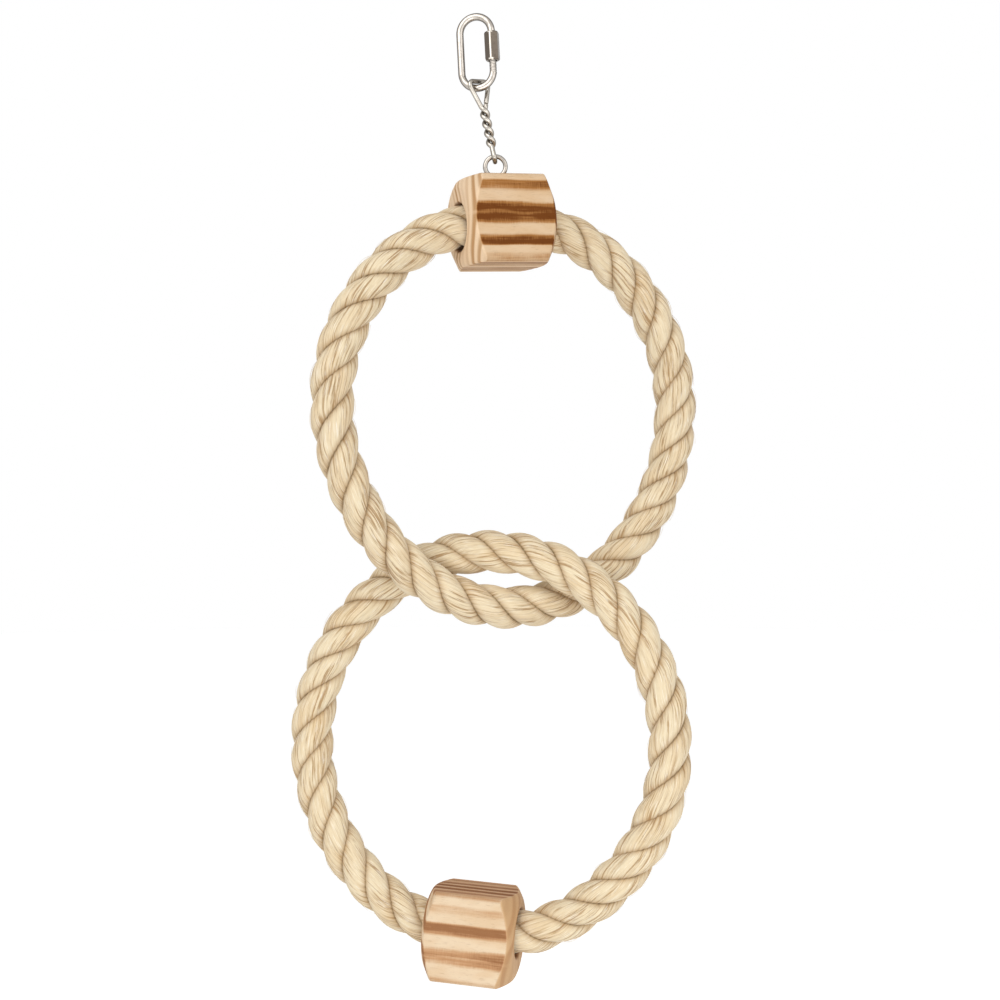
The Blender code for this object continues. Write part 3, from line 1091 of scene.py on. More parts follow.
LIGHT_PINE = ScorchedPine(
    name="scorched_pine_lower",
    pale=(0.745, 0.585, 0.405),
    warm=(0.70, 0.515, 0.33),
    amber=(0.60, 0.37, 0.185),
    toasted=(0.52, 0.285, 0.14),
    charred=(0.31, 0.14, 0.058),
    # These two are darker partly as end grain and partly as painted shade on the block's ends.
    end_grain=(0.60, 0.38, 0.20),
    end_ring=(0.48, 0.26, 0.12),
    burn=1.65,
    burn_above=1.65,
    ticks=0.22,
    flamed_side=-1.0,
    ring_spacing=7.0,
    ring_bend=12.5,
    ring_middle=8.1,
    ring_phase=0.87,
    front=-20.0,
    taper=0.0010,
    wander=0.25,
    tree=21.0,
)


@dataclass
class TurnedPrism:
    """A bored prism along X whose two ends are turned to soft cones."""

    sides: int
    length: float
    across_flats: float
    edge: float
    end_radius: float
    end_cone: float
    bore: float
    mouth: float
    softness: float
    columns: int = 192
    bore_shift: float = 0.0
    cone_rows: int = 44
    flat_rows: int = 42
    face_rows: int = 12
    mouth_rows: int = 9
    bore_rows: int = 26

    def flat_radius(self, turn: Array) -> Array:
        """Distance from the axis to the prism's faces and rounded long edges, at each angle."""
        half_side = math.pi / self.sides
        from_flat = np.abs((turn + half_side) % (2 * half_side) - half_side)
        flat = self.across_flats / 2
        inner = flat - self.edge
        centre = np.array([inner, inner * math.tan(half_side)])
        toward = np.cos(from_flat) * centre[0] + np.sin(from_flat) * centre[1]
        under_root = np.clip(toward**2 - centre @ centre + self.edge**2, 0, None)
        on_edge = toward + np.sqrt(under_root)
        on_flat = flat / np.cos(from_flat)
        return np.where(np.tan(from_flat) * flat <= centre[1], on_flat, on_edge)

    def corner_radius(self) -> float:
        """Distance from the axis to the sharp corner that the long edges are rounded from."""
        return self.across_flats / 2 / math.cos(math.pi / self.sides)

    def outer_stations(self) -> tuple[Array, Array]:
        """Places along X from the left end to the right, and the turned radius at each."""
        half = self.length / 2
        cone = np.linspace(0, self.end_cone, self.cone_rows)
        slope = (self.corner_radius() - self.end_radius) / self.end_cone
        rounding = self.softness * 3
        cut_back = np.clip(rounding - cone, 0, None) ** 2 / rounding
        left_radius = self.end_radius + slope * cone - cut_back
        middle = np.linspace(self.end_cone - half, half - self.end_cone, self.flat_rows)[1:-1]
        untouched = np.full(len(middle), 2 * self.corner_radius())
        along = np.concatenate([cone - half, middle, half - cone[::-1]])
        return along, np.concatenate([left_radius, untouched, left_radius[::-1]])

    def mesh(self) -> BMesh:
        """The closed mesh: over the outside, in at the right end, through the bore and out at the left."""
        turn = full_turn(self.columns)
        along, turned = self.outer_stations()
        outside = smooth_minimum(turned[:, None], self.flat_radius(turn)[None, :], 4 * self.softness)
        half = self.length / 2
        inward = np.linspace(0, 1, self.face_rows)[1:-1]
        face_along = np.full(len(inward), half)
        face_radius = (1 - inward)[:, None] * outside[-1][None, :]
        face_radius += inward[:, None] * (self.bore + self.mouth)
        mouth_turn = np.linspace(0, math.pi / 2, self.mouth_rows)
        mouth_radius = self.bore + self.mouth * (1 - np.sin(mouth_turn))
        mouth_along = half - self.mouth * (1 - np.cos(mouth_turn))
        bore_along = np.linspace(mouth_along[-1], -mouth_along[-1], self.bore_rows)[1:-1]
        bore_radius = np.full(len(bore_along), self.bore)
        inner_along = np.concatenate([mouth_along, bore_along, -mouth_along[::-1]])
        inner_radius = np.concatenate([mouth_radius, bore_radius, mouth_radius[::-1]])
        inner_radius = np.repeat(inner_radius[:, None], len(turn), axis=1)
        sections = (
            (along, outside, np.zeros(len(along))),
            (face_along, face_radius, inward),
            (inner_along, inner_radius, np.ones(len(inner_along))),
            (-face_along, face_radius[::-1], inward[::-1]),
            (along[:1], outside[:1], np.zeros(1)),
        )
        stations, radius, shift = (np.concatenate(parts) for parts in zip(*sections))
        across = radius * np.sin(turn)[None, :]
        up = radius * np.cos(turn)[None, :] + self.bore_shift * shift[:, None]
        mesh = new_mesh()
        wrap_grid(mesh, np.stack([np.broadcast_to(stations[:, None], up.shape), across, up], axis=2))
        return mesh


@dataclass
class QuickLink:
    """The quick link that the toy hangs by: a bent wire with a gate, and the nut that closes it."""

    length: float = 0.0365
    width: float = 0.0185
    wire: float = 0.0034
    gate: float = 0.0040
    yaw: float = math.radians(-15.0)
    lean: float = math.radians(3.0)
    nut_length: float = 0.0135
    nut_across_flats: float = 0.0062
    nut_chamfer: float = 0.0007
    nut_mouth: float = 0.0003
    nut_softness: float = 0.0001
    nut_columns: int = 144
    nut_grip: float = 0.0012
    nut_travel: float = 0.0052
    nut_edge: float = 0.0004
    thread_pitch: float = 0.0007
    thread_depth: float = 0.00022
    wire_step: float = 0.00012
    wire_sides: int = 32
    # Where the nut's painted highlight lies: degrees off its front edge, and shares of its chamfer.
    painted_highlight_edge: Span = (9.0, 3.5)
    painted_highlight_corner: Span = (28.0, 12.0)
    painted_highlight_chamfer: Span = (1.4, 0.9)

    def place(self) -> Matrix:
        """The frame of the link."""
        return placed(Vector(), 0.0, -self.lean, self.yaw)

    def arch(self) -> float:
        """Radius of the link's two arches, at the middle of the wire."""
        return (self.width - self.wire) / 2

    def top(self) -> float:
        """Height of the upper arch's centre."""
        return self.wire / 2 - self.arch()

    def bottom(self) -> float:
        """Height of the lower arch's centre."""
        return 1.5 * self.wire - self.length + self.arch()

    def nut_top(self) -> float:
        """Height of the closed nut's upper end."""
        return self.top() - FIT_GAP

    def bar_place(self, bar_wire: float) -> Vector:
        """Where the middle of a bar lies that hangs in the lower arch."""
        height = self.bottom() - self.arch() + (self.wire + bar_wire) / 2 + FIT_GAP
        return self.place() @ Vector((0, 0, height))

    def body_mesh(self) -> BMesh:
        """The bent wire, threaded where the nut runs and chamfered at both ends of the gate."""
        arch = self.arch()
        gate_top = self.nut_top() - self.nut_grip
        points = [Vector((arch, 0, gate_top))]
        points += arc_points(UP * self.top(), arch, 0, math.pi, RIGHT)
        points += arc_points(UP * self.bottom(), arch, math.pi, FULL_TURN, RIGHT)
        points.append(Vector((arch, 0, gate_top - self.gate)))
        whole = distances(points)[-1]
        long_thread = self.nut_length + self.nut_travel - self.nut_grip - self.gate
        chamfer = self.thread_depth * 2

        def radius_at(along: Array, turn: Array) -> Array:
            """Radius of the wire, cut back by the thread near its two ends."""
            end = whole - along
            short_end = eased(along, self.nut_grip + FIT_GAP, 0)
            threaded = np.maximum(short_end, eased(end, long_thread, long_thread - FIT_GAP))
            phase = (along / self.thread_pitch - turn / FULL_TURN) % 1.0
            valley = np.abs(2 * phase - 1)
            bevel = np.clip(chamfer - np.minimum(along, end), 0, None)
            return self.wire / 2 - threaded * self.thread_depth * valley - bevel

        return wire_mesh(points, self.wire_step, self.wire_sides, radius_at)

    def nut_mesh(self) -> BMesh:
        """The hexagon sleeve, hanging down from its upper end."""
        corner = self.nut_across_flats / math.sqrt(3)
        sleeve = TurnedPrism(
            sides=6,
            length=self.nut_length,
            across_flats=self.nut_across_flats,
            edge=self.nut_edge,
            end_radius=corner - self.nut_chamfer,
            end_cone=self.nut_chamfer,
            bore=self.wire / 2 + FIT_GAP,
            mouth=self.nut_mouth,
            softness=self.nut_softness,
            columns=self.nut_columns,
        )
        mesh = sleeve.mesh()
        upright = Matrix.Rotation(math.pi / 2, 3, "Y")
        bmesh.ops.rotate(mesh, verts=mesh.verts, cent=(0, 0, 0), matrix=upright)
        bmesh.ops.translate(mesh, verts=mesh.verts, vec=(0, 0, -self.nut_length / 2))
        return mesh

    def paint_front_highlight(self, data: bpy.types.Mesh, place: Matrix) -> None:
        """Stores where the nut gets a painted highlight: along its front edge, and on the chamfers at its
        two ends beside that edge.

        Args:
            data: The nut's mesh.
            place: The frame of the nut's upper end.
        """
        local = local_places(data, place)
        off_edge = np.degrees(np.abs(np.arctan2(local[:, 0], -local[:, 1])))
        from_end = np.minimum(-local[:, 2], self.nut_length + local[:, 2])
        chamfers = [share * self.nut_chamfer for share in self.painted_highlight_chamfer]
        chamfer_highlight = eased(from_end, *chamfers) * eased(off_edge, *self.painted_highlight_corner)
        from_bore = np.hypot(local[:, 0], local[:, 1]) - self.wire / 2
        outside = eased(from_bore, 2 * FIT_GAP, 3 * FIT_GAP)
        # Painted highlight along the front edge and on the chamfers beside it.
        rubbed = np.maximum(chamfer_highlight, eased(off_edge, *self.painted_highlight_edge))
        float_attribute(data, "painted_highlight", outside * rubbed)

    def build(self, wire_finish: PlatedWire, nut_finish: PlatedWire) -> None:
        """Builds and dresses the link and its nut.

        Args:
            wire_finish: The finish of the bent wire.
            nut_finish: The finish of the nut.
        """
        link = add_piece("quick_link_wire", self.body_mesh(), self.place())
        settle(link, Body.QUICK_LINK, ["quick_link_body"], wire_finish.material())
        nut_place = self.place() @ Matrix.Translation((self.arch(), 0, self.nut_top()))
        nut = add_piece("quick_link_sleeve_nut", self.nut_mesh(), nut_place)
        self.paint_front_highlight(nut.data, nut_place)
        settle(nut, Body.LINK_NUT, ["quick_link_nut"], nut_finish.material())


@dataclass
class Hanger:
    """The twisted wire between the quick link and the screw eye."""

    wire: float = 0.0022
    length: float = 0.0380
    loop_width: float = 0.0140
    loop_height: float = 0.0125
    bend: float = 0.0022
    butt: float = 0.0020
    neck: float = 0.0045
    half_turns: int = 4
    yaw: float = math.radians(45.0)
    lean: float = math.radians(12.0)
    bend_steps: int = 6
    wire_step: float = 0.0002
    wire_sides: int = 24

    def tip(self, eye_wire: float) -> float:
        """Half width of the bottom loop, which passes round the screw eye's wire."""
        return (eye_wire + self.wire) / 2 + FIT_GAP

    def points(self, eye_wire: float) -> list[Vector]:
        """Points of the wire, from its cut end above the twist round both loops and up to that end.

        Args:
            eye_wire: Thickness of the screw eye that the bottom loop holds.

        Returns:
            The points, in the hanger's frame.
        """
        core = (self.wire + FIT_GAP) / 2
        tip = self.tip(eye_wire)
        tip_height = tip - self.length
        twist_start = -self.loop_height
        twist_end = tip_height + self.neck
        turn = math.pi / 2 - self.yaw + self.half_turns * math.pi
        steps = math.ceil(turn / TWIST_STEP)
        down = []
        for step in range(steps + 1):
            angle = self.yaw + turn * step / steps
            height = twist_start + (twist_end - twist_start) * step / steps
            down.append(Vector((-core * math.cos(angle), -core * math.sin(angle), height)))
        up = [Vector((-point.x, -point.y, point.z)) for point in reversed(down)]
        loop = arc_points(UP * tip_height, tip, math.pi, FULL_TURN, BACK)
        if down[-1].y > 0:
            loop.reverse()
        corner = Vector((math.cos(self.yaw), math.sin(self.yaw), 0)) * self.loop_width / 2
        leg = (corner - up[-1]).normalized()
        butt = up[-1] + leg * self.butt
        first, last = self.bend_steps, -1 - self.bend_steps
        top = bent_points([butt + leg * FIT_GAP, corner, -corner, down[0], down[first]], self.bend)
        foot = bent_points([up[last], up[-1], butt], self.bend)
        return top[:-1] + down[first:] + loop + up[:last] + foot

    def build(self, link: QuickLink, eye_wire: float, finish: PlatedWire) -> None:
        """Builds and dresses the hanger.

        Args:
            link: The quick link that it hangs in.
            eye_wire: Thickness of the screw eye that it holds.
            finish: The finish of its wire.
        """
        points = self.points(eye_wire)
        whole = distances(points)[-1]

        def radius_at(along: Array, turn: Array) -> Array:
            """Radius of the wire, eased where its two ends were snipped off."""
            end = np.minimum(along, whole - along)
            return self.wire / 2 - np.clip(SNIPPED - end, 0, None) + 0 * turn

        mesh = wire_mesh(points, self.wire_step, self.wire_sides, radius_at)
        place = placed(link.bar_place(self.wire), 0.0, -self.lean, 0.0)
        piece = add_piece("twisted_hanger", mesh, place)
        settle(piece, Body.HANGER, ["hanger_wire"], finish.material())


@dataclass
class ScrewEye:
    """The screw eye in the upper block."""

    wire: float = 0.0021
    outside: float = 0.0115
    shank: float = 0.0120
    point: float = 0.0030
    blunt: float = 0.25
    start: float = math.radians(-66.0)
    turn_in: float = math.radians(77.0)
    wire_step: float = 0.0002
    wire_sides: int = 28

    def ring(self) -> float:
        """Radius of the eye, at the middle of the wire."""
        return (self.outside - self.wire) / 2

    def fillet(self) -> float:
        """Radius of the bend where the eye runs into its shank."""
        return self.ring() * math.cos(self.turn_in) / (1 - math.cos(self.turn_in))

    def drop(self) -> float:
        """Height from the eye's centre down to the start of its straight shank."""
        return (self.ring() + self.fillet()) * math.sin(self.turn_in)

    def build(self, place: Matrix, finish: PlatedWire) -> None:
        """Builds and dresses the eye.

        Args:
            place: The frame of the eye's centre, level with the viewer.
            finish: The finish of its wire.
        """
        top = -self.drop()
        bend_centre = Vector((-self.fillet(), 0, top))
        points = arc_points(Vector(), self.ring(), self.start, math.pi + self.turn_in, RIGHT)
        points += arc_points(bend_centre, self.fillet(), self.turn_in, 0, RIGHT)[1:]
        points.append(UP * (top - self.shank))
        whole = distances(points)[-1]

        def radius_at(along: Array, turn: Array) -> Array:
            """Radius of the wire, eased at the cut end of the eye and drawn out to the shank's point."""
            cut = np.clip(SNIPPED - along, 0, None)
            taper = self.blunt + (1 - self.blunt) * np.clip((whole - along) / self.point, 0, 1)
            return self.wire / 2 * taper - cut + 0 * turn

        mesh = wire_mesh(points, self.wire_step, self.wire_sides, radius_at)
        piece = add_piece("bent_screw_eye", mesh, place)
        settle(piece, Body.UPPER_RING, ["screw_eye"], finish.material())


@dataclass(frozen=True)
class RingForm:
    """The middle line of a rope ring: straight inside its block, and an oval that narrows away from it."""

    half_width: float
    half_height: float
    taper: float
    bend_ease: float = 0.0030
    shoulder_power: int = 4
    close_points: int = 4000

    def points(self, start: float) -> Array:
        """Close points of the line in the ring's XZ plane, clockwise from right of the top.

        Args:
            start: The angle from the top at which the line starts, and before which it ends.

        Returns:
            The points.
        """
        angle = np.linspace(start, FULL_TURN - start, self.close_points)
        across = self.half_width * np.sin(angle) * (1 + self.taper * np.cos(angle))
        mouth = math.sqrt(1 - (BLOCK_LENGTH / 2 / self.half_width) ** 2)
        power = self.shoulder_power
        shoulder = (1 - mouth) / mouth**power * np.clip(np.cos(angle), 0, None) ** power
        curved = self.half_height * (np.cos(angle) + shoulder)
        up = smooth_minimum(curved, np.full_like(curved, self.half_height), self.bend_ease)
        return np.stack([across, np.zeros_like(angle), up], axis=1)


@dataclass(frozen=True)
class ToyRing:
    """One ring of the toy: the start of its names, its form, the frame of its centre and its body."""

    name: str
    form: RingForm
    centre: Matrix
    body: Body


@dataclass
class LaidRope:
    """Three strands laid right-handed round a ring, each with its yarns twisted the other way."""

    diameter: float = 0.0200
    lay: float = 0.0490
    strands: int = 3
    end_gap: float = 0.0040
    strand_radial: float = 0.0052
    strand_level: float = 0.0056
    step: float = 0.0011
    yarns: int = 13
    yarn_columns: int = 4
    yarn_relief: float = 0.00016
    yarn_roundness: float = 0.7
    yarn_turn: float = 0.0277
    yarn_sway: float = 1.3
    sway_length: float = 0.2700
    sway_start: float = 0.1300
    slack_depth: float = 0.45
    slack_waves: tuple[Place, ...] = ((2.4, 0.0115, 1.7), (4.1, -0.0067, 1.0))
    swell_waves: tuple[Place, ...] = ((0.010, 0.037, 2.1), (0.008, 0.0173, 1.0))
    groove_floor: float = 0.60
    fibres: int = 120
    fibre: float = 0.00007
    fibre_lift: float = 0.0007
    fibre_lift_least: float = 0.3
    fibre_rows: int = 10
    fibre_sides: int = 3
    fibre_slant: float = 6.0
    fibre_reach: float = 0.45
    fibre_map: Span = (0.02, 0.002)
    fibre_free: Span = (0.36, 0.64)
    path_points: int = 49
    mark_points: int = 2000

    def columns(self) -> int:
        """How many faces go round a strand."""
        return self.yarns * self.yarn_columns

    def middle_line(self, form: RingForm, count: int) -> tuple[Array, Array, Array]:
        """The middle line of the rope in its ring's frame, clockwise from right of the top.

        Args:
            form: The ring's form.
            count: How many points the line has.

        Returns:
            The points, the outward normals and the distances along the line.
        """
        close = form.points(self.end_gap / 2 / form.half_width)
        known = distances(close)
        along = np.linspace(0, known[-1], count)
        line = line_at(along, known, close)
        tangent = np.gradient(line, axis=0)
        outward = np.stack([-tangent[:, 2], np.zeros_like(along), tangent[:, 0]], axis=1)
        return line, unit(outward), along

    def length(self, form: RingForm) -> float:
        """How long the rope of a ring is, from end to end."""
        return float(self.middle_line(form, 2)[2][-1])

    def strand_points(self, form: RingForm, number: int) -> Array:
        """Rows of points over one strand, whose columns follow its yarns.

        Args:
            form: The ring's form.
            number: Which strand it is.

        Returns:
            The points, as an array of rows by columns by 3.
        """
        count = round(self.length(form) / self.step) + 1
        line, outward, along = self.middle_line(form, count)
        helix = self.diameter / 2 - self.strand_radial
        angle = FULL_TURN * (along / self.lay + number / self.strands)
        spoke = np.cos(angle)[:, None] * outward - np.sin(angle)[:, None] * np.array(BACK)
        centre = line + helix * spoke
        tangent = unit(np.gradient(centre, axis=0))
        normal = unit(spoke - tangent * np.sum(spoke * tangent, axis=1, keepdims=True))
        level = np.cross(tangent, normal)
        column = np.arange(self.columns() + 1)
        column[-1] = 0
        strand_along = along * math.hypot(1.0, FULL_TURN * helix / self.lay)
        sway = self.yarn_sway * np.sin(FULL_TURN * (along - self.sway_start) / self.sway_length)
        twist = sway - FULL_TURN * strand_along / self.yarn_turn
        turn = FULL_TURN * column[None, :] / self.columns() + twist[:, None]
        oval = 1 / np.hypot(np.cos(turn) / self.strand_radial, np.sin(turn) / self.strand_level)
        wave = np.sin(math.pi * (column % self.yarn_columns) / self.yarn_columns) ** self.yarn_roundness
        yarn = column // self.yarn_columns
        slack = sum(
            np.sin(yarn[None, :] * spread + along[:, None] / length + number * shift)
            for spread, length, shift in self.slack_waves
        )
        swell = sum(
            depth * np.sin(along / length + number * shift) for depth, length, shift in self.swell_waves
        )
        radius = oval * (1 + swell)[:, None]
        radius += self.yarn_relief * (wave - 1)[None, :] * (1 + self.slack_depth * slack)
        return centre[:, None] + radius[:, :, None] * spokes(turn, normal, level)

    def fibre_points(self, strand: Array, line: Array, number: int) -> Array:
        """Rows of points round a loose fibre, which lifts off its strand in its middle or at one end.

        Fibres stay clear of the block, and of the far side of the ring where the other ring hangs.

        Args:
            strand: The points of its strand.
            line: The rope's middle line, with a point for each row of the strand.
            number: Which fibre it is.

        Returns:
            The points, as an array of rows by columns by 3.
        """
        rows, columns = len(strand), strand.shape[1] - 1
        chance = (number + 1) * SPREAD_STEPS % 1.0
        hidden = BLOCK_LENGTH / 2 / self.step + self.fibre_rows
        before, after = (share * rows for share in self.fibre_free)
        starts = [hidden, before, after, rows - hidden - self.fibre_rows]
        start = round(np.interp(chance[0], [0.0, 0.499, 0.501, 1.0], starts))
        row = start + np.arange(self.fibre_rows)
        middle = row[self.fibre_rows // 2]
        outermost = np.argsort(-np.linalg.norm(strand[middle, :-1] - line[middle], axis=1))
        share = np.linspace(0, 1, self.fibre_rows)
        slant = self.fibre_slant * (chance[2] - 0.5) * (share - 0.5)
        column = outermost[int(chance[1] * self.fibre_reach * columns)] + slant
        lower = np.floor(column).astype(int)
        part = (column - lower)[:, None]
        foot = strand[row, lower % columns] * (1 - part) + strand[row, (lower + 1) % columns] * part
        out = unit(foot - strand[row, :-1].mean(axis=1))
        rise = share**2 if number % 2 else np.sin(math.pi * share) ** 2
        lift = self.fibre_lift * (self.fibre_lift_least + chance[3])
        core = foot + out * (lift * rise)[:, None]
        side = unit(np.cross(np.gradient(core, axis=0), out))
        return core[:, None] + self.fibre * spokes(full_turn(self.fibre_sides), out, side)

    def add_fibres(self, mesh: BMesh, strands: Sequence[Array], line: Array) -> None:
        """Adds the loose fibres of a rope.

        Args:
            mesh: The rope's mesh.
            strands: The points of its strands.
            line: Its middle line, with a point for each row of a strand.
        """
        fuzz = new_mesh()
        for number in range(self.fibres * self.strands):
            wrap_grid(fuzz, self.fibre_points(strands[number % self.strands], line, number))
        close_ends(fuzz)
        data = mesh_data("loose_fibres", fuzz)
        mesh.from_mesh(data)
        bpy.data.meshes.remove(data)

    def build(self, ring: ToyRing, finish: NaturalRope) -> None:
        """Args:
            ring: The ring.
            finish: The rope's finish.
        """
        name = f"{ring.name}_rope"
        mesh = new_mesh()
        strands = [self.strand_points(ring.form, number) for number in range(self.strands)]
        for strand in strands:
            wrap_grid(mesh, strand)
        close_ends(mesh)
        self.add_fibres(mesh, strands, self.middle_line(ring.form, len(strands[0]))[0])
        piece = add_piece(f"{name}_laid", mesh, ring.centre)
        self.spread_map(piece.data, ring.form)
        self.mark(piece.data, ring)
        length = self.length(ring.form)
        material = finish.material(length, self.yarns * self.strands)
        nodes = [f"{name}_strand_{number + 1}" for number in range(self.strands)]
        settle(piece, ring.body, nodes, material)
        line = self.middle_line(ring.form, self.path_points)[0]

    def spread_map(self, data: bpy.types.Mesh, form: RingForm) -> None:
        """Spreads the map over the strands, and stores how far out on its yarn each point is.

        Args:
            data: The rope's mesh.
            form: The ring's form.
        """
        corners = np.empty(len(data.loops) * 2, np.float32)
        layer = data.uv_layers["UVMap"].uv
        layer.foreach_get("vector", corners)
        corners = corners.reshape(-1, 2)
        share = round(self.length(form) / self.step) * self.columns() * FACE_CORNERS
        for number in range(self.strands):
            band = slice(number * share, (number + 1) * share)
            corners[band, 1] = (corners[band, 1] + number) / self.strands
        caps = 2 * self.strands * self.columns()
        loose = corners[self.strands * share + caps :]
        fibre = np.arange(len(loose)) // ((self.fibre_rows - 1) * self.fibre_sides * FACE_CORNERS)
        loose[:, 0] = self.fibre_map[0] * loose[:, 0] + SPREAD_STEPS[1] * fibre % 1.0
        loose[:, 1] = self.fibre_map[1] * loose[:, 1] + SPREAD_STEPS[0] * fibre % 1.0
        layer.foreach_set("vector", corners.ravel())
        corner_verts = np.empty(len(data.loops), np.int32)
        data.loops.foreach_get("vertex_index", corner_verts)
        yarn = np.zeros(len(data.vertices))
        yarn[corner_verts] = corners[:, 1] * self.yarns * self.strands
        float_attribute(data, "ridge", np.sin(math.pi * (yarn % 1.0)))

    def mark(self, data: bpy.types.Mesh, ring: ToyRing) -> None:
        """Stores how far out on the rope each point is, for the painted shade in its grooves.

        Args:
            data: The rope's mesh.
            ring: The rope's ring.
        """
        local = local_places(data, ring.centre)
        line = self.middle_line(ring.form, self.mark_points)[0]
        line_turn = np.arctan2(line[:, 0], line[:, 2]) % FULL_TURN
        turn = np.arctan2(local[:, 0], local[:, 2]) % FULL_TURN
        from_middle = np.linalg.norm(local - line_at(turn, line_turn, line), axis=1)
        outer = self.diameter / 2
        inner = self.groove_floor * outer
        float_attribute(data, "crest", np.clip((from_middle - inner) / (outer - inner), 0, 1))


@dataclass
class WoodenBlock:
    """A block that closes a rope ring: square, with turned ends, a bore and two nails in its back."""

    length: float = BLOCK_LENGTH
    section: float = 0.0400
    edge: float = 0.0030
    end_radius: float = 0.0172
    end_cone: float = 0.0065
    end_softness: float = 0.0003
    rope_drop: float = 0.0015
    bore_clearance: float = 0.0006
    bore_mouth: float = 0.0012
    nail: float = 0.0018
    nail_length: float = 0.0350
    nail_head: float = 0.0038
    nail_head_height: float = 0.0009
    nail_spacing: float = 0.0220
    turned_skin: Span = (0.0016, 0.0002)
    faced_skin: Span = (0.0008, 0.0002)

    def prism(self, form: RingForm, rope: LaidRope) -> TurnedPrism:
        """The block's form without its small holes. The rope sags a little at the bore's mouths."""
        sag = form.bend_ease / 8
        return TurnedPrism(
            sides=4,
            length=self.length,
            across_flats=self.section,
            edge=self.edge,
            end_radius=self.end_radius,
            end_cone=self.end_cone,
            bore=rope.diameter / 2 + sag + self.bore_clearance,
            mouth=self.bore_mouth,
            softness=self.end_softness,
            bore_shift=-self.rope_drop - sag,
        )

    def nail_mesh(self) -> BMesh:
        """A round nail with a low domed head, its head's top at the origin and its point down."""
        head = self.nail_head / 2
        shank = self.nail / 2
        crown = self.nail_head_height / 4
        profile = [
            (0, crown * 0.6),
            (head * 0.5, crown * 0.45),
            (head * 0.85, 0),
            (head * 0.97, -crown),
            (head, -2 * crown),
            (head * 0.95, -self.nail_head_height),
            (shank, -self.nail_head_height * 1.1),
            (shank, self.nail - self.nail_length),
            (0, -self.nail_length),
        ]
        return turned_mesh(profile)

    def seat_mesh(self, radius: float, depth: float) -> BMesh:
        """A cutter for a small round hole, with its opened mouth at the origin.

        Args:
            radius: The hole's radius.
            depth: How deep it goes.

        Returns:
            The cutter.
        """
        mouth = (radius + 2 * FIT_GAP, FIT_GAP)
        return turned_mesh([(0, FIT_GAP), mouth, (radius, -FIT_GAP), (radius, -depth), (0, -depth)])

    def drilled(self, block: bpy.types.Object, cutters: Sequence[bpy.types.Object]) -> None:
        """Cuts small holes into a block and removes the cutters.

        Args:
            block: The block.
            cutters: The closed cutters.
        """
        for cutter in cutters:
            modifier = block.modifiers.new(cutter.name, "BOOLEAN")
            modifier.object = cutter
            modifier.operation = "DIFFERENCE"
        bpy.context.view_layer.update()
        graph = bpy.context.evaluated_depsgraph_get()
        data = bpy.data.meshes.new_from_object(block.evaluated_get(graph))
        block.modifiers.clear()
        block.data = data
        for cutter in cutters:
            bpy.data.objects.remove(cutter, do_unlink=True)

    def mark(self, data: bpy.types.Mesh, place: Matrix, prism: TurnedPrism) -> None:
        """Stores where facing, boring and the turning of one end took the scorched skin off, and where the
        bore takes painted shade.

        The other end was turned before the block was flamed.

        Args:
            data: The block's mesh.
            place: The block's frame.
            prism: The block's form.
        """
        local = local_places(data, place)
        from_end = self.length / 2 - np.abs(local[:, 0])
        slope = (prism.corner_radius() - self.end_radius) / self.end_cone
        cone = self.end_radius + slope * from_end
        under_cone = cone - np.hypot(local[:, 1], local[:, 2])
        on_cone = eased(under_cone, *self.turned_skin) * (local[:, 0] < 0)
        on_face = eased(from_end, *self.faced_skin)
        from_bore = np.hypot(local[:, 1], local[:, 2] - prism.bore_shift)
        bored = eased(from_bore, prism.bore + self.bore_mouth, prism.bore)
        float_attribute(data, "turned", on_cone)
        float_attribute(data, "faced", np.maximum(on_face, bored))
        float_attribute(data, "bored", bored)

    def build(
        self,
        ring: ToyRing,
        rope: LaidRope,
        slot: Slot,
        finish: ScorchedPine,
        nail_finish: Material,
        eye: ScrewEye | None = None,
    ) -> None:
        """Builds and dresses one block and its nails.

        Args:
            ring: The ring that it closes.
            rope: The rope that runs through it.
            slot: The record's slot of its finish; not used.
            finish: Its finish.
            nail_finish: The material of its nails.
            eye: The screw eye in its top, if it has one.
        """
        name = f"{ring.name}_block"
        nail_name = f"{ring.name}_rope"
        rope_height = ring.form.half_height
        place = ring.centre @ Matrix.Translation((0, 0, rope_height + self.rope_drop))
        prism = self.prism(ring.form, rope)
        block = add_piece(f"{name}_turned", prism.mesh(), place)
        back = self.section / 2
        cutters = []
        if eye:
            top = place @ Matrix.Translation((EYE_SIDE_SHIFT, 0, back))
            seat = self.seat_mesh((eye.wire + FIT_GAP) / 2, eye.shank / 2)
            cutters.append(add_piece("eye_seat", seat, top))
        for side, sign in (("left", -1), ("right", 1)):
            head = Matrix.Translation((sign * self.nail_spacing / 2, back, rope_height))
            nail_place = ring.centre @ head @ Matrix.Rotation(-math.pi / 2, 4, "X")
            seat = self.seat_mesh(self.nail_head / 2 + FIT_GAP, self.nail_head_height + FIT_GAP)
            cutters.append(add_piece(f"{nail_name}_seat_{side}", seat, nail_place))
            nail = add_piece(f"{nail_name}_round_nail_{side}", self.nail_mesh(), nail_place)
            settle(nail, ring.body, [f"{nail_name}_nail_{side}"], nail_finish)
        self.drilled(block, cutters)
        self.mark(block.data, place, prism)
        settle(block, ring.body, [name], finish.material(place))


@dataclass(frozen=True)
class SoftLamp:
    """A square soft lamp that faces the middle of the toy."""

    name: str
    place: Place
    size: float
    watts: float

    def build(self, middle: Vector) -> None:
        """Adds the lamp, turned to the toy's middle."""
        data = bpy.data.lights.new(self.name, "AREA")
        data.shape = "SQUARE"
        data.size = self.size
        data.energy = self.watts
        lamp = in_scene(self.name, data)
        lamp.location = self.place
        lamp.rotation_euler = (middle - Vector(self.place)).to_track_quat("-Z", "Y").to_euler()


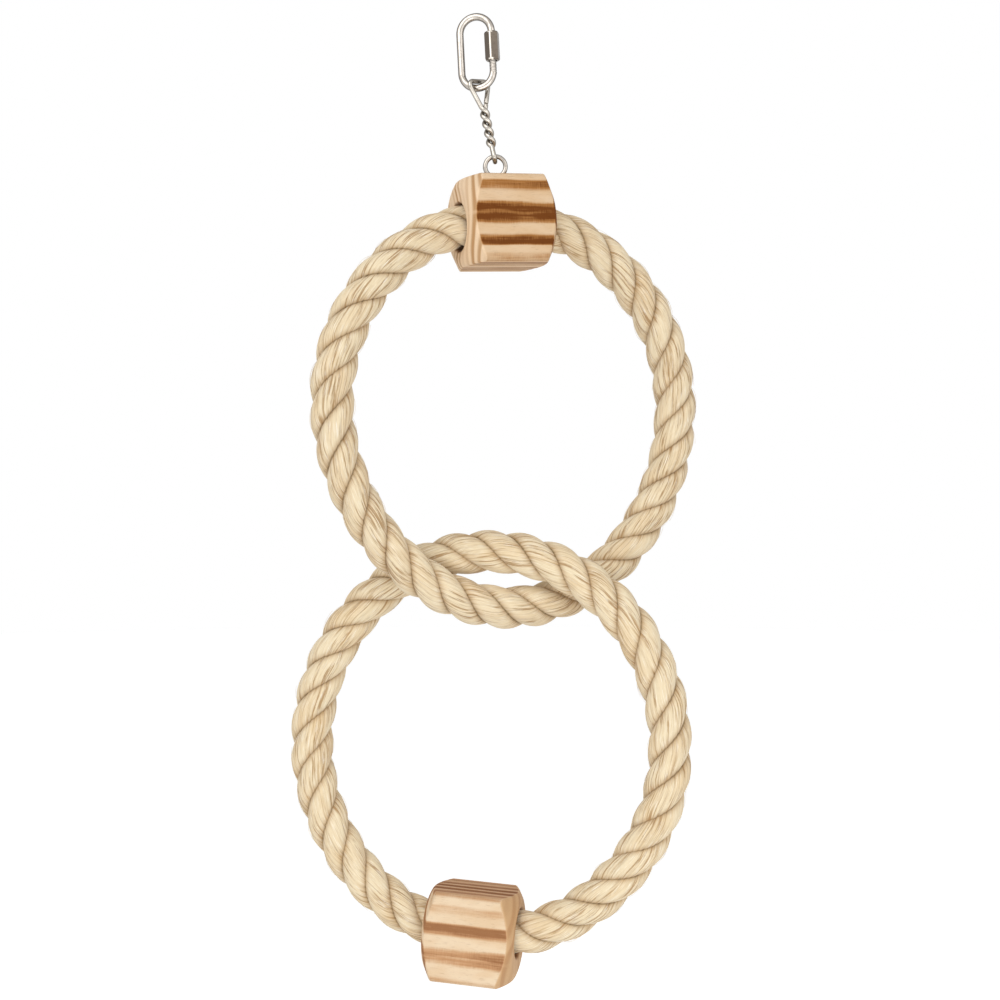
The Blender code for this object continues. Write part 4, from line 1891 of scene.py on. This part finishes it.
@dataclass
class Studio:
    """A white floor and surround, soft lamps, and a camera at the photograph's viewing angle."""

    camera_place: Place = (0.0116, -0.7500, -0.2218)
    lens: float = 58.35
    sensor: float = 36.0
    nearest: float = 0.01
    floor_height: float = -0.75
    floor_radius: float = 6.0
    floor_colour: Colour = (0.92, 0.92, 0.92)
    floor_roughness: float = 0.9
    floor_glow: float = 0.46
    surround_light: float = 0.56
    lamps: tuple[SoftLamp, ...] = (
        SoftLamp("key_lamp", (-0.75, -0.95, 0.75), 1.4, 11.0),
        SoftLamp("fill_lamp", (0.95, -0.85, 0.05), 1.3, 4.2),
        SoftLamp("bounce_lamp", (0.05, -0.60, -0.70), 0.9, 3.3),
    )

    def camera(self) -> None:
        """Adds the camera, level and square to the toy's front."""
        data = bpy.data.cameras.new("photo_camera")
        data.lens = self.lens
        data.sensor_width = self.sensor
        data.clip_start = self.nearest
        camera = in_scene("photo_camera", data)
        camera.location = self.camera_place
        camera.rotation_euler = (math.pi / 2, 0, 0)
        bpy.context.scene.camera = camera

    def floor(self) -> None:
        """Adds the pale floor, which keeps the toy's shadow."""
        mesh = new_mesh()
        bmesh.ops.create_circle(mesh, cap_ends=True, radius=self.floor_radius, segments=96)
        floor = in_scene("studio_floor", mesh_data("studio_floor", mesh))
        floor.location.z = self.floor_height
        wiring, shader, made = new_material("studio_floor")
        finish = {
            "Base Color": self.floor_colour,
            "Roughness": self.floor_roughness,
            "Emission Color": WHITE,
            "Emission Strength": wiring.product(self.seen(wiring), self.floor_glow),
        }
        wiring.fill(shader, finish)
        floor.data.materials.append(made)

    def seen(self, wiring: Wiring) -> Socket:
        """1 for rays that the camera sees directly, in metal or through glass."""
        path = wiring.add("ShaderNodeLightPath").outputs
        mirrored = wiring.math("MAXIMUM", path["Is Camera Ray"], path["Is Glossy Ray"])
        return wiring.math("MAXIMUM", mirrored, path["Is Transmission Ray"])

    def surround(self) -> None:
        """Sets the world: white where it is seen, and a plain soft light elsewhere."""
        world = bpy.data.worlds.new("white_surround")
        world.use_nodes = True
        wiring = Wiring(world.node_tree)
        strength = wiring.between(self.seen(wiring), self.surround_light, 1.0)
        wiring.fill(world.node_tree.nodes["Background"], {"Color": WHITE, "Strength": strength})
        bpy.context.scene.world = world

    def build(self) -> None:
        """Sets up the studio."""
        bpy.context.scene.view_settings.view_transform = "Standard"
        self.camera()
        self.floor()
        self.surround()
        for lamp in self.lamps:
            lamp.build(Vector((self.camera_place[0], 0, self.camera_place[2])))


@dataclass
class Toy:
    """The whole toy, from the quick link down to the lower ring."""

    upper_ring: RingForm = RingForm(half_width=0.0845, half_height=0.0883, taper=0.063)
    lower_ring: RingForm = RingForm(half_width=0.0841, half_height=0.0868, taper=0.018)
    upper_roll: float = math.radians(-3.0)
    lower_pitch: float = math.radians(-3.0)
    lower_roll: float = math.radians(3.5)

    def frames(self, hanger: Hanger, eye: ScrewEye, block: WoodenBlock) -> tuple[Matrix, Matrix, Matrix]:
        """Where the screw eye and the two rings are.

        Args:
            hanger: The hanger that carries them.
            eye: The screw eye.
            block: The wooden block.

        Returns:
            The frames of the eye, of the upper ring's centre and of the lower one's.
        """
        sway = placed(joint_place("ring_sway"), 0.0, self.upper_roll, UPPER_YAW)
        eye_height = hanger.tip(eye.wire) - eye.ring()
        eye_frame = sway @ Matrix.Translation((0, 0, eye_height)) @ Matrix.Rotation(-UPPER_YAW, 4, "Z")
        block_middle = eye_height - eye.drop() - FIT_GAP - block.section / 2
        drop = block_middle - self.upper_ring.half_height - block.rope_drop
        upper = sway @ Matrix.Translation((-EYE_SIDE_SHIFT, 0, drop))
        turn = placed(joint_place("lower_ring_turn"), self.lower_pitch, self.lower_roll, LOWER_YAW)
        return eye_frame, upper, turn @ Matrix.Rotation(math.pi, 4, "Y")

    def build(self) -> None:
        """Builds and dresses every piece."""
        link, hanger, eye, block, rope = QuickLink(), Hanger(), ScrewEye(), WoodenBlock(), LaidRope()
        eye_frame, upper_frame, lower_frame = self.frames(hanger, eye, block)
        upper = ToyRing("upper", self.upper_ring, upper_frame, Body.UPPER_RING)
        lower = ToyRing("lower", self.lower_ring, lower_frame, Body.LOWER_RING)
        rope.build(upper, UPPER_ROPE)
        rope.build(lower, LOWER_ROPE)
        link.build(LINK_WIRE, LINK_NUT)
        hanger.build(link, eye.wire, HANGER_WIRE)
        eye.build(eye_frame, EYE_WIRE)
        nails = BRIGHT_NAIL.material()
        block.build(upper, rope, Slot.DARK_PINE, DARK_PINE, nails, eye)
        block.build(lower, rope, Slot.LIGHT_PINE, LIGHT_PINE, nails)


def main() -> None:
    """Builds the studio and the toy."""
    logging.basicConfig(level=logging.INFO, format="%(message)s")
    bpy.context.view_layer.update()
    Studio().build()
    Toy().build()


if __name__ == "__main__":
    main()
